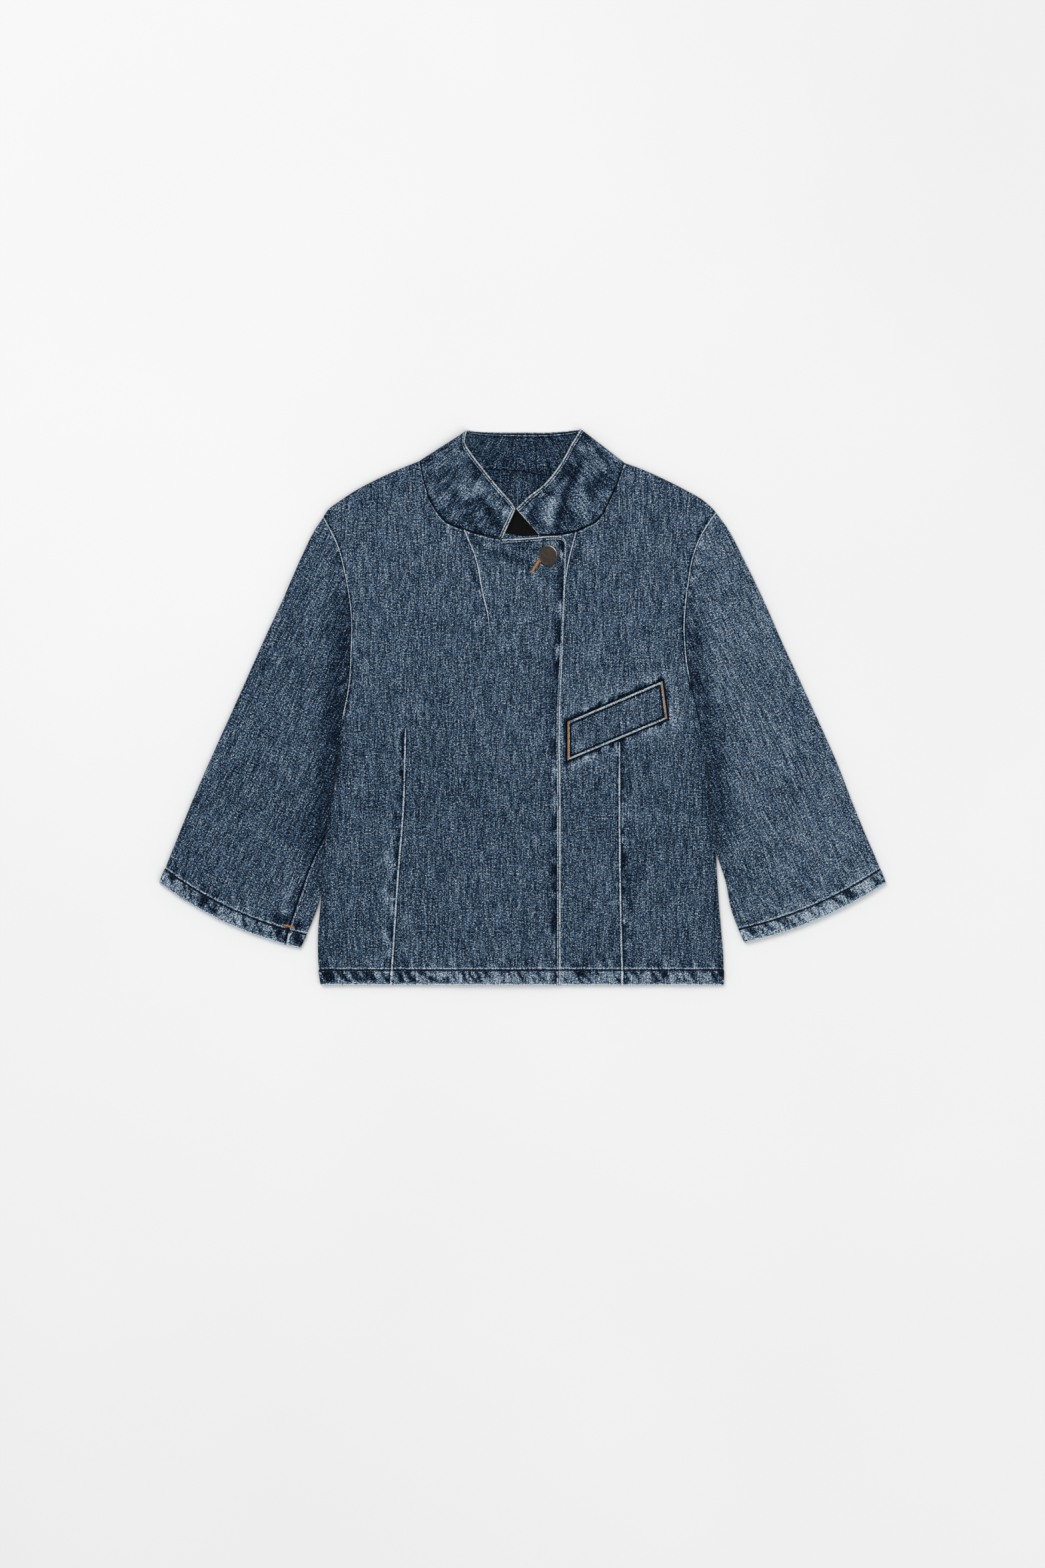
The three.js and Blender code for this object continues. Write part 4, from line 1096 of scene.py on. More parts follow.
def front_plan(name):
    """Plan of a front, between the side, the two darts, the collar's end and the front edge."""
    s = settings()
    half = HALVES[name]
    keys = ("side", "waist_dart", "neck_dart", "collar_end", "front_edge")
    guides = [Line(half[key]) for key in keys]
    tops = [Line(half[key]) for key in ("shoulder", "neck", "neck_to_end", "lap_top")]
    insets = [
        (None, DART_SIDE), (DART_SIDE, DART_SIDE), (DART_SIDE, PLAIN_SIDE), (PLAIN_SIDE, FREE_EDGE),
    ]
    neck_x = abs(half["neck"][0][0])
    return panel_plan(
        guides, tops, insets, [lambda p: side_roll(half, p[:, 1])],
        lambda p: smoothstep(np.abs(p[:, 0]), neck_x - 4, neck_x), s.column_step, s.row_step,
    )


def front_panel(name):
    """One front: its plan, raised by front_height plus puckers, creases and waves."""
    s = settings()
    half = HALVES[name]
    number = NOISE["front_" + name]
    plan, lift, columns = front_plan(name)
    x, y = plan[..., 0], plan[..., 1]
    side = runs(plan, 1)
    up = y - HEM_HEIGHT
    down = runs_left(plan, 0)
    front = runs_left(plan, 1)
    waist = side - side[:, columns[0]:columns[0] + 1]
    neck = side - side[:, columns[1]:columns[1] + 1]
    waist_ridge = 1 - smoothstep(y, half["waist_dart_top"] - 20, half["waist_dart_top"])
    neck_ridge = smoothstep(y, half["neck_dart_foot"], half["neck_dart_foot"] + 20)
    on_waist = y < (WELT_FOOT if name == "left" else half["waist_dart_top"])
    on_neck = y > half["neck_dart_foot"] - 2
    armhole = beside_armhole(half, y)
    shown = smoothstep(x, HIDDEN_END - 12, HIDDEN_END) if name == "left" else np.ones_like(x)
    end_x = half["collar_end"][-1][0]
    on_lap = x > end_x - 1 if name == "right" else x < end_x + 1
    at_neck = (np.abs(x) < abs(half["neck"][0][0]) + 1) & ~on_lap

    waves = cloth_waves(x, y, number) * smoothstep(side, 0, 8)
    hem = hem_puckers(x, up, number + 2)
    outboard = seam_puckers(y, np.maximum(-waist, 0), 5, number + 4) * on_waist * (waist < 0)
    inboard = seam_puckers(y, np.maximum(waist, 0), 3, number + 6) * on_waist * (waist > 0)
    puckers = {
        "outboard": outboard, "inboard": inboard,
        "neck": seam_puckers(y, np.abs(neck), 3, number + 8) * on_neck,
        "armhole": seam_puckers(y, side, 6, number + 10) * armhole,
        "top": seam_puckers(x, down, 5, number + 12) * (at_neck | on_lap),
    }
    relief = 0.55 * hem
    wear_and_shade = hem_wear(x, up, hem, number + 20)
    for place, shares in FRONT_PUCKERS.items():
        relief += shares["relief"] * puckers[place]
        wear_and_shade += shares["tone"] * puckers[place]
    if name == "right":
        lumps = seam_puckers(y * 0.5, front, 6, number + 14)
        relief += 0.32 * lumps
        wear_and_shade += (0.9 * lumps - 0.16) * bell(np.maximum(front - 8, 0), 5) * smoothstep(front, 3.4, 5)
    wear_and_shade += on_waist * beside_waist_dart(y, waist, number)
    creases = crease_height(CREASES["front_" + name], x, y)
    # The placed table adds rubbed pale places and darker ones, the darker partly painted shade.
    wear_and_shade += 0.05 * creases + 1.5 * crease_height(RUBBED_AND_SHADED["front_" + name], x, y)
    wear_and_shade += 0.025 * smoothstep(y, -60, 60)
    dart_ridge = 0.9 * (bell(waist + 0.2, 1.2) * waist_ridge + bell(neck + 0.2, 1.1) * neck_ridge)
    dart_ridge -= 0.5 * (bell(waist - 1.3, 0.6) * waist_ridge + bell(neck - 1.3, 0.6) * neck_ridge)
    fine = s.pucker * relief + creases + s.waviness * waves
    away = np.full(x.shape, -FAR)
    if name == "left":
        away, strokes, tone = around_welt(x, y, number)
        fine += strokes
        wear_and_shade += tone
    height = front_height(name, x, y) + shown * fine + dart_ridge
    if name == "right":
        over = smoothstep(x, LAP_START, LAP_END)
        height = np.where(over > 0.9, np.maximum(height, FRONT_LAYER + LAP_LIFT - 0.3), height)
        height -= 0.35 * bell(front - TOPSTITCH_INSET, TOPSTITCH_DENT)
    grid = np.stack([x, y, lerp(FOLD_LEVEL, height, lift)], -1)

    band = hem_band(up)
    if name == "left":
        band = band * smoothstep(x, LEFT_HEM_START - 1, LEFT_HEM_START + 4)
    rim = rounding(np.minimum(up, front)) * rounding(down, 0.8, 0.5)
    outside = (HALF_WALL + HEM_LIFT * band) * rim
    inside = HALF_WALL * rim
    stitched = np.minimum(front, where_shown(down, on_lap))
    lap = where_shown(stitched, np.full(x.shape, name == "right"))
    darts = nearest([where_shown(waist, on_waist), where_shown(1.35 * neck, on_neck)])
    if name == "left":
        darts = -darts
    drawn = smoothstep(y, half["armhole_line_foot"], half["armhole_line_foot"] + 50)
    darts = nearest([darts, where_shown(0.8 - 0.75 * side - 3 * (1 - drawn), drawn > 0.3)])
    # Painted shade: darker along the body's side below the armhole, beside the valley to the sleeve, and in
    # a narrow band just below the collar's neck seam.
    wear_and_shade -= 0.12 * bell(side - 2, 7) * (1 - armhole) + 0.3 * bell(down, 1.6) * at_neck
    # The last seam line is the welt's painted outline shadow, a millimetre outside its edge.
    seams = [where_shown(down, at_neck), up - HEM_DEPTH, -0.8 * np.abs(away - 1.0)]
    marks = cloth_marks(wear_and_shade, np.minimum(up, lap), nearest(seams), lap - TOPSTITCH_INSET, darts)
    grain = np.stack([x + number * 10, y], -1)
    turn = AS_IT_IS if name == "right" else COLUMNS_TURNED
    made, outer, _ = wall(
        "front_" + name + "_cloth", *turned_grid(turn, grid, outside, inside, marks, grain))
    finish_cloth(
        made, "front_" + name,
    )
    return outer


def back_panel():
    """The back: a plan between both sides and both dart guides, flat on the surface.

    Its inner side carries waves and puckers; its underside only hollows, so that it lies flat.
    """
    s = settings()
    right, left = HALVES["right"], HALVES["left"]
    guides = [
        Line(right["side"]), Line(right["waist_dart"]), Line(left["waist_dart"]), Line(left["side"]),
    ]
    tops = [Line(right["shoulder"]), Line(BACK_NECK), Line(left["shoulder"][::-1])]
    insets = [(None, PLAIN_SIDE), (PLAIN_SIDE, PLAIN_SIDE), (PLAIN_SIDE, None)]

    def top_roll(p):
        right_end, left_end = right["neck"][0][0], left["neck"][0][0]
        return np.maximum(
            1 - smoothstep(p[:, 0], right_end, right_end + 4),
            smoothstep(p[:, 0], left_end - 4, left_end),
        )

    rolls = [lambda p: side_roll(right, p[:, 1]), lambda p: side_roll(left, p[:, 1])]
    plan, lift, _ = panel_plan(guides, tops, insets, rolls, top_roll, s.column_step * 1.7, s.row_step * 1.3)
    x, y = plan[..., 0], plan[..., 1]
    up = y - HEM_HEIGHT
    side = np.minimum(runs(plan, 1), runs_left(plan, 1))
    down = runs_left(plan, 0)
    number = NOISE["back"]
    hem = hem_puckers(x, up, number + 2)
    beside = seam_puckers(y, side, 5, number + 4) + seam_puckers(x, down, 5, number + 6)
    creases = crease_height(CREASES["back"], x, y)
    waves = cloth_waves(x, y, number)
    hollow = np.clip(s.pucker * (0.5 * hem + 0.22 * beside) + creases + 0.8 * s.waviness * waves, 0, None)
    grid = np.stack([x, y, lerp(FOLD_LEVEL, np.full_like(x, BACK_LAYER), lift)], -1)
    grid[..., 2] += 0.7 * hollow * smoothstep(side, 1, 6) * smoothstep(down, 1, 6)
    band = hem_band(up)
    rim = rounding(up)
    wear_and_shade = hem_wear(x, up, hem, number + 8) + 0.14 * beside - 0.05 * creases
    marks = cloth_marks(wear_and_shade, up, nearest([up - HEM_DEPTH, -side, -down]))
    grain = np.stack([x, y + number * 10], -1)
    outside = (HALF_WALL + HEM_LIFT * band) * rim
    made, _, inner = wall("back_cloth", grid, outside, HALF_WALL * rim, marks, grain, floor=True)
    set_inner_side(made, np.repeat([1.0, 0.0], x.size))
    finish_cloth(made, "back")
    return inner


def sleeve_seam(half):
    """The sleeve's seam line: down the side of the body, then down its own inner fold."""
    side = Line(half["side"])
    fold = Line(half["sleeve_inner"])
    shared = side.at(np.linspace(side.length - TOP_STRETCH, 0, 500))
    shared = shared[shared[:, 1] > fold.points[0, 1] + 2]
    joined = np.concatenate([shared, fold.points])
    return Line.__new__(Line).follow(joined)


def sleeve_plan(half):
    """Plan of a sleeve's sheet, wrapped round the outer fold from seam to seam.

    A row runs from the outer fold to the seam. Given back are the points, their shares of
    lift, less than 0 below, their lengths from the outer fold and from the seam, the seam's
    heights up the body, and the sleeve's direction.
    """
    s = settings()
    outer_line = Line(half["sleeve_outer"])
    seam_line = sleeve_seam(half)
    shoulder = outer_line.points[0]
    axis = unit(outer_line.points[-1] - shoulder)
    hem_rows = np.concatenate([np.linspace(HEM_DEPTH + HEM_STEP, 1.1, 12), [0.55, 0.2, 0]])
    body_rows = np.arange(0, seam_line.length - HEM_DEPTH - HEM_STEP - 1, s.row_step)
    seam = seam_line.at(np.concatenate([body_rows, seam_line.length - hem_rows]))
    apart = SEAM_GAP * np.clip(1 - runs(seam[:, None], 0)[:, 0] / TOP_STRETCH, 0, 1)
    seam = seam + axis * apart[:, None]
    travelled = (seam - shoulder) @ axis
    first, cuff = travelled[0], travelled[-1]
    reach = travelled - first * np.exp((first - travelled) / SLEEVE_FAN)
    start = outer_line.share(np.clip(reach / cuff, 0, 1)) + axis * apart[:, None]
    width = np.linalg.norm(seam - start, axis=1)
    seam_inset, seam_lift = edge_lines(side_roll(half, seam[:, 1]), SLEEVE_SLANT)
    turn = np.linspace(math.pi / 2, 0, 9)[1:]
    fold_inset = HALF_WALL + (1 - np.cos(turn)) * FOLD_RADIUS
    flat_end = width - seam_inset[:, -1]
    flat_start = HALF_WALL + FOLD_RADIUS
    cells = round(float(np.median(width)) / s.column_step)
    flat = lerp(flat_end[:, None], flat_start, (np.arange(1, cells + 1) / cells)[None])
    rolled = (len(seam), len(turn))
    upper = np.concatenate(
        [width[:, None] - seam_inset, flat, np.broadcast_to(fold_inset, rolled)], axis=1)
    upper_lift = np.concatenate(
        [seam_lift, np.ones(flat.shape), np.broadcast_to(np.sin(turn), rolled)], axis=1)
    across = np.concatenate([upper, upper[:, -2::-1]], axis=1)
    lift = np.concatenate([upper_lift, -upper_lift[:, -2::-1]], axis=1)
    share = across / width[:, None]
    bow = half["cuff_bow"] * smoothstep(travelled, cuff - CUFF_BOW_REACH, cuff)
    plan = lerp(start[:, None], seam[:, None], share[..., None])
    plan = plan + axis * (4 * bow[:, None] * share * (1 - share))[..., None]
    return plan, lift, across, width[:, None] - across, seam[:, 1], axis


def sleeve(name):
    """One sleeve: its layers lie at the heights of the upper and lower cloth.

    Both folds are half circles between them.
    """
    s = settings()
    half = HALVES[name]
    number = NOISE["sleeve_" + name]
    plan, lift, across, inward, seam_y, axis = sleeve_plan(half)
    x, y = plan[..., 0], plan[..., 1]
    on_top = lift >= 0
    up = runs_left(plan, 0)
    armhole = beside_armhole(half, seam_y)[:, None]
    along = plan @ np.array([-axis[1], axis[0]])
    down_arm = plan @ axis

    waves = cloth_waves(along, down_arm, number)
    hem = hem_puckers(along, up, number + 2)
    gathers = seam_puckers(y, inward, 9, number + 4) * armhole
    valley = smoothstep(seam_y, -235, -120) * (1 - smoothstep(seam_y, 30, 90))
    valley = valley[:, None] * bell(inward - 3, 10) * on_top
    # Painted shade: a dark band on the sleeve beside the body's side, where the sleeve dips into the valley
    # between them, is taken off the tone below.
    shade = smoothstep(seam_y, -235, -120) * (1 - smoothstep(seam_y, 60, 150))
    shade = shade[:, None] * bell(np.maximum(inward - 8, 0), 15) * on_top
    creases = crease_height(CREASES["sleeve_" + name], x, y)
    away = smoothstep(inward, 0, 5) * smoothstep(across, 1, 6)
    fine = away * (s.pucker * (0.55 * hem + 0.3 * gathers) + creases + s.waviness * waves)
    wear_and_shade = hem_wear(along, up, hem, number + 20) + 0.22 * gathers + 0.05 * creases - 0.25 * shade
    wear_and_shade += 1.4 * crease_height(RUBBED_AND_SHADED["sleeve_" + name], x, y) * on_top + SLEEVE_TONE[name]
    lines = [up - HEM_DEPTH, where_shown(-inward, armhole > 0.3)]
    if name == "right":
        underarm = Line(UNDERARM_SEAM)
        at = np.interp(-y, -underarm.points[:, 1], underarm.points[:, 0])
        beyond = (x - at) * 0.9
        inside_seam = (y < UNDERARM_SEAM[0][1]) & on_top
        lines.append(where_shown(beyond, inside_seam))
        fine = fine + 0.5 * bell(beyond - 2, 2.4) * inside_seam
        # Painted shade in the groove along the underarm seam.
        wear_and_shade = wear_and_shade - 0.3 * bell(beyond, 1.6) * inside_seam
    upper_height = front_height(name, x, y) + fine - 0.9 * valley
    lower_height = BACK_LAYER + 0.6 * np.clip(fine, 0, None)
    height = np.where(on_top, upper_height, lower_height)
    grid = np.stack([x, y, lerp(FOLD_LEVEL, height, np.abs(lift))], -1)

    band = hem_band(up)
    rim = rounding(up)
    top_share = smoothstep(lift, -0.5, 0.5)
    outside = (HALF_WALL + HEM_LIFT * band * top_share) * rim
    inside = (HALF_WALL + HEM_LIFT * band * (1 - top_share)) * rim
    marks = cloth_marks(wear_and_shade, up, nearest(lines))
    grain = np.stack([along + number * 10, down_arm], -1)
    turn = BOTH_TURNED if name == "right" else ROWS_TURNED
    made, shown_face, _ = wall(
        "sleeve_" + name + "_cloth", *turned_grid(turn, grid, outside, inside, marks, grain),
        floor=True,
    )
    finish_cloth(made, "sleeve_" + name)
    return shown_face


def collar_front(name, k):
    """Places on the neck seam and the free edge, and their heights, at station numbers k."""
    half = HALVES[name]
    neck = Line(half["neck"])
    end = Line(half["neck_to_end"])
    on_neck = neck.share(np.clip(k / NECK_CELLS, 0, 1))
    on_end = end.share(np.clip((k - NECK_CELLS) / END_CELLS, 0, 1))
    low = np.where((k <= NECK_CELLS)[:, None], on_neck, on_end)
    high = Line(half["collar_top"]).share(k / FRONT_STATIONS)
    high_height = np.interp(k, np.arange(FRONT_STATIONS + 1), COLLAR_EDGE_HEIGHTS[name])
    return low, high, front_height(name, low[:, 0], low[:, 1]), high_height


def collar_shares(low, high, t):
    clear = COLLAR_CLEARANCE / np.linalg.norm(high - low, axis=-1)
    return clear[None] + (1 - clear[None]) * t


def collar_front_lines(name, k, rows):
    """Lines of the collar's front: straight in plan, rising as a power of the share."""
    low, high, low_height, high_height = collar_front(name, k)
    share = collar_shares(low, high, rows)
    plan = lerp(low[None], high[None], share[..., None])
    risen = np.sin(math.pi / 2 * np.minimum(1, share / COLLAR_FOLD_RISE))
    height = lerp(low_height[None], high_height[None], share**COLLAR_EASE)
    height = height + risen * fold_height(COLLAR_FOLDS, plan[..., 0], plan[..., 1])
    return np.concatenate([plan, height[..., None]], -1)


def collar_back_lines(k, rows):
    low = Line(BACK_NECK).share(k / BACK_STATIONS)
    high = Line(COLLAR_BACK_TOP).share(k / BACK_STATIONS)
    share = collar_shares(low, high, rows)
    plan = lerp(low[None], high[None], share[..., None])
    return np.concatenate([plan, np.full(share.shape, BACK_LAYER)[..., None]], -1)


def collar_fold_lines(name, back_k, turn, angles, rows):
    """Lines round the fold at a shoulder: a half circle between the two layers.

    They lie inside the line from seam to free edge, along the way to the next station.
    """
    low, high, _, high_height = collar_front(name, np.array([0.0]))
    front_low, front_high, _, _ = collar_front(name, np.array([1.0]))
    back_low = Line(BACK_NECK).share(back_k / BACK_STATIONS)
    back_high = Line(COLLAR_BACK_TOP).share(back_k / BACK_STATIONS)
    rise = unit(high[0] - low[0])
    inward = np.array([turn * rise[1], -turn * rise[0]])
    share = collar_shares(low, high, rows[:, :1])[:, 0]
    top = lerp(FRONT_LAYER, high_height[0], share**COLLAR_EASE)
    radius = (top - BACK_LAYER) / 2
    lines = []
    for angle in angles:
        next_low, next_high = (front_low[0], front_high[0]) if angle > 0 else (back_low, back_high)
        ways = unit(lerp(unit(next_low - low[0]), unit(next_high - high[0]), share[:, None]))
        slant = np.maximum(ways @ inward, LEAST_SLANT)
        inset = (HALF_WALL + radius * (1 - math.cos(angle))) / slant
        plan = lerp(low[0], high[0], share[:, None]) + ways * inset[:, None]
        height = BACK_LAYER + radius * (1 + math.sin(angle))
        lines.append(np.concatenate([plan, height[:, None]], -1))
    return np.stack(lines, 1)


def joined_lines(a, b, cells):
    """Lines evenly between the last line of a and the first line of b."""
    share = (np.arange(1, cells) / cells)[None, :, None]
    return lerp(a[:, -1:], b[:, :1], share)


def collar_grid():
    """The collar's band from the right front end, round the back, to the left front end."""
    even = np.linspace(0, 1, 27)[1:-1]
    rows = np.concatenate([[0, 0.008, 0.02], even[:-1], 1 - FREE_EDGE[::-1] / 46])
    rows = np.unique(rows)[:, None]
    fronts = np.linspace(1, FRONT_STATIONS, 64)
    close = np.array([FRONT_STATIONS - 0.02, FRONT_STATIONS - 0.06, FRONT_STATIONS - 0.1])
    fronts = np.unique(np.concatenate([fronts, close]))
    backs = np.linspace(1, BACK_STATIONS - 1, 66)
    angles = np.radians(np.linspace(90, -90, 11))
    right = collar_front_lines("right", fronts[::-1], rows)
    left = collar_front_lines("left", fronts, rows)
    back = collar_back_lines(backs, rows)
    right_fold = collar_fold_lines("right", 1.0, 1, angles, rows)
    left_fold = collar_fold_lines("left", BACK_STATIONS - 1.0, -1, angles, rows)[:, ::-1]
    parts = [right, right_fold, back, left_fold, left]
    lines = [right]
    for before, after in zip(parts, parts[1:]):
        lines += [joined_lines(before, after, 7), after]
    return np.concatenate(lines, axis=1)


def collar():
    """The collar: its band, raised by puckers, creases and waves."""
    s = settings()
    grid = collar_grid()
    x, y = grid[..., 0], grid[..., 1]
    up, down = runs(grid, 0), runs_left(grid, 0)
    travelled, left_end = runs(grid, 1), runs_left(grid, 1)
    stitched = np.minimum(down, travelled)
    along = np.broadcast_to(travelled[len(grid) // 2], travelled.shape)
    on_top = smoothstep(grid[..., 2], 3.2, 4.6)
    edge = np.minimum(stitched, left_end)
    number = NOISE["collar"]
    puckers = 0.3 * seam_puckers(along, edge, 5, number)
    puckers += 0.24 * seam_puckers(along, up, 5, number + 2)
    lumps = noise(along / 8, up / 10, number + 4) + 0.5 * noise(along / 4, up / 5, number + 5)
    creases = 1.25 * crease_height(CREASES["collar"], x, y)
    waves = cloth_waves(along, up, number + 6)
    fine = s.pucker * (puckers + 0.16 * lumps) + creases + 0.6 * s.waviness * waves
    away = smoothstep(up, 0, 5)
    grid = grid + normals_of(grid[:, ::-1])[:, ::-1] * (fine * away * on_top)[..., None]
    grid[..., 2] += (1 - on_top) * 0.5 * np.clip(fine, 0, None) * away
    grid[..., 2] -= 0.3 * bell(stitched - TOPSTITCH_INSET, TOPSTITCH_DENT) * on_top
    rim = rounding(edge) * rounding(up, 0.7, 0.5)
    frayed = 0.9 * bell(left_end, 6) * bell(down - 3, 12)
    # The placed tone is pale on rubbed ridges and painted shade in the hollows between the folds.
    placed = 0.05 * creases + 1.3 * crease_height(RUBBED_AND_SHADED["collar"], x, y) + 0.14 * lumps
    wear_and_shade = 0.46 * puckers + 0.41 * np.tanh(2.7 * placed) * on_top
    # Painted shade: darker along the neck seam, on the upper and the lower layer.
    wear_and_shade += 0.05 * lumps - 0.3 * bell(up, 1.5) * on_top - 0.06 * bell(up, 8) * (1 - on_top)
    free = np.minimum(stitched + 0.8 * (1 - on_top), left_end + 0.5)
    marks = cloth_marks(
        wear_and_shade - 0.03 + 0.12 * frayed, free, -up - 0.7 * (1 - on_top), stitched - TOPSTITCH_INSET - 0.2)
    grain = np.stack([along + 3100, up], -1)
    thickness = HALF_WALL * rim
    made, outer, _ = wall(
        "collar_cloth", *turned_grid(COLUMNS_TURNED, grid, thickness, thickness, marks, grain),
        floor=True,
    )
    finish_cloth(made, "collar")
    return outer


def neck_facing():
    """Facing along the back neck: rows hang from the seam, shorter towards both ends."""
    s = settings()
    share = np.linspace(0, 1, 110)[None]
    rows = np.concatenate([[0, 0.006, 0.02], np.linspace(0.05, 1, 34)])[:, None]
    top = Line(BACK_NECK).share(lerp(FACING["start"], FACING["end"], share[0]))
    depth = (top[:, 1] - SEAM_GAP - FACING["foot"]) * (1 - FACING["taper"] * np.abs(2 * share[0] - 1))
    y = top[:, 1][None] - SEAM_GAP + 1.3 * rows**6 - depth[None] * (1 - rows)
    x = np.broadcast_to(top[:, 0][None], y.shape)
    crease = crease_height([(-5, 246, 2, 226, 2.2, 0.8), (30, 240, 34, 214, 3, 0.4)], x, y)
    waves = cloth_waves(x, y, NOISE["facing"])
    grid = np.stack([x, y, FACING["middle"] + crease + 0.5 * s.waviness * waves], -1)
    below_seam = runs_left(grid, 0)
    edge = np.minimum(runs(grid, 0), np.minimum(runs(grid, 1), runs_left(grid, 1)))
    # Painted shade: the facing is a little darker as a whole, and darker still just below the neck seam,
    # under the collar.
    wear_and_shade = crease_height(RUBBED_AND_SHADED["facing"], x, y) - 0.06 - 0.1 * bell(below_seam, 7)
    marks = cloth_marks(wear_and_shade, edge + 2, -below_seam)
    thickness = HALF_WALL * rounding(edge)
    grain = np.stack([x, y + 1500], -1)
    made, _, _ = wall("neck_facing_cloth", grid, thickness, thickness, marks, grain)
    set_inner_side(made, np.ones(len(made.data.vertices)))
    finish_cloth(
        made, "back_neck_facing")


def neck_label():
    """Bare label: a flat tape with rounded edges, slightly bowed."""
    u = np.linspace(-1, 1, 57)[None]
    v = np.linspace(-1, 1, 37)[:, None]
    x = LABEL["x"] + u * LABEL["width"] / 2 + 0 * v
    y = LABEL["y"] + v * LABEL["height"] / 2 + 0 * u
    middle = LABEL["underside"] + LABEL["wall"] / 2
    grid = np.stack([x, y, middle + 0.25 * (1 - u**2) * (1 - v**2)], -1)
    edge = np.minimum(
        np.minimum(runs(grid, 1), runs_left(grid, 1)), np.minimum(runs(grid, 0), runs_left(grid, 0)))
    thickness = LABEL["wall"] / 2 * rounding(edge, 1.0, 0.4)
    made, outer, _ = wall("neck_label_tape", grid, thickness, thickness, {"edge": edge}, grid[..., :2])
    finish_piece(made, "neck_label", label_material())
    return outer


def pocket_welt():
    """Welt: a strip spanned by its four corners, just clear of the left front."""
    s = settings()
    lower_inner, lower_outer, upper_outer, upper_inner = np.array(WELT_OUTLINE)
    length = float(np.linalg.norm(lower_outer - lower_inner))
    height = float(np.linalg.norm(upper_inner - lower_inner))
    u = spread(np.array([length]), FREE_EDGE, FREE_EDGE, 1.5)[0][None]
    v = spread(np.array([height]), FREE_EDGE, FREE_EDGE, 1.5)[0][:, None]
    low = lerp(lower_inner, lower_outer, u[..., None])
    high = lerp(upper_inner, upper_outer, u[..., None])
    plan = lerp(low, high, v[..., None])
    x, y = plan[..., 0], plan[..., 1]
    above = HALF_WALL + SEAM_GAP + WELT["spare"] + WELT["wall"] / 2
    along = runs(plan, 1)
    up, down = runs(plan, 0), runs_left(plan, 0)
    ends = np.minimum(along, runs_left(plan, 1))
    edge = np.minimum(np.minimum(up, down), ends)
    relief = 0.28 * seam_puckers(along, np.minimum(up, down), 4, NOISE["welt"])
    relief += 0.14 * cloth_waves(along, up, NOISE["welt"] + 2)
    height = front_height("left", x, y) + above + relief * s.pucker
    height = height + 0.35 * bell(down - 1.2, 1.2) - 0.4 * bell(edge - 2.6, 0.7)
    grid = np.stack([x, y, height], -1)
    corner = np.hypot(ends, np.minimum(up, down))
    # Painted shade: a dark line in the groove just inside the stitching, also drawn as a dark seam line,
    # and darker corners.
    wear_and_shade = 0.04 + 0.5 * relief - 0.3 * bell(edge - 3.6, 1.2) - 0.26 * bell(corner - 5, 3)
    marks = cloth_marks(wear_and_shade, 0.72 * edge, -np.abs(edge - 3.3))
    thickness = WELT["wall"] / 2 * rounding(edge)
    grain = np.stack([along + 4100, up], -1)
    made, outer, _ = wall("pocket_welt_cloth", grid, thickness, thickness, marks, grain)
    finish_cloth(made, "pocket_welt")
    return outer


def turned_surface(profile, sides):
    """Points of a profile turned round an axis: radius r and height z at each angle."""
    angle = np.linspace(0, 2 * math.pi, sides, endpoint=False)
    r, z = profile[:, 0][:, None], profile[:, 1][:, None]
    return np.stack([r * np.cos(angle), r * np.sin(angle), z + 0 * angle], -1)


def closed_turning(points):
    """Faces of a turned surface: quads between rings, and fans at its two poles."""
    rings, sides = points.shape[:2]
    number = np.arange(rings * sides).reshape(rings, sides)
    after = np.roll(number, -1, axis=1)
    quads = np.stack([number[:-1], after[:-1], after[1:], number[1:]], -1).reshape(-1, 4)
    poles = points.mean(axis=1)[[0, -1]]
    low, high = rings * sides, rings * sides + 1
    bottom = np.stack([after[0], number[0], np.full(sides, low)], -1)
    top = np.stack([number[-1], after[-1], np.full(sides, high)], -1)
    return np.concatenate([points.reshape(-1, 3), poles]), quads, np.concatenate([bottom, top])


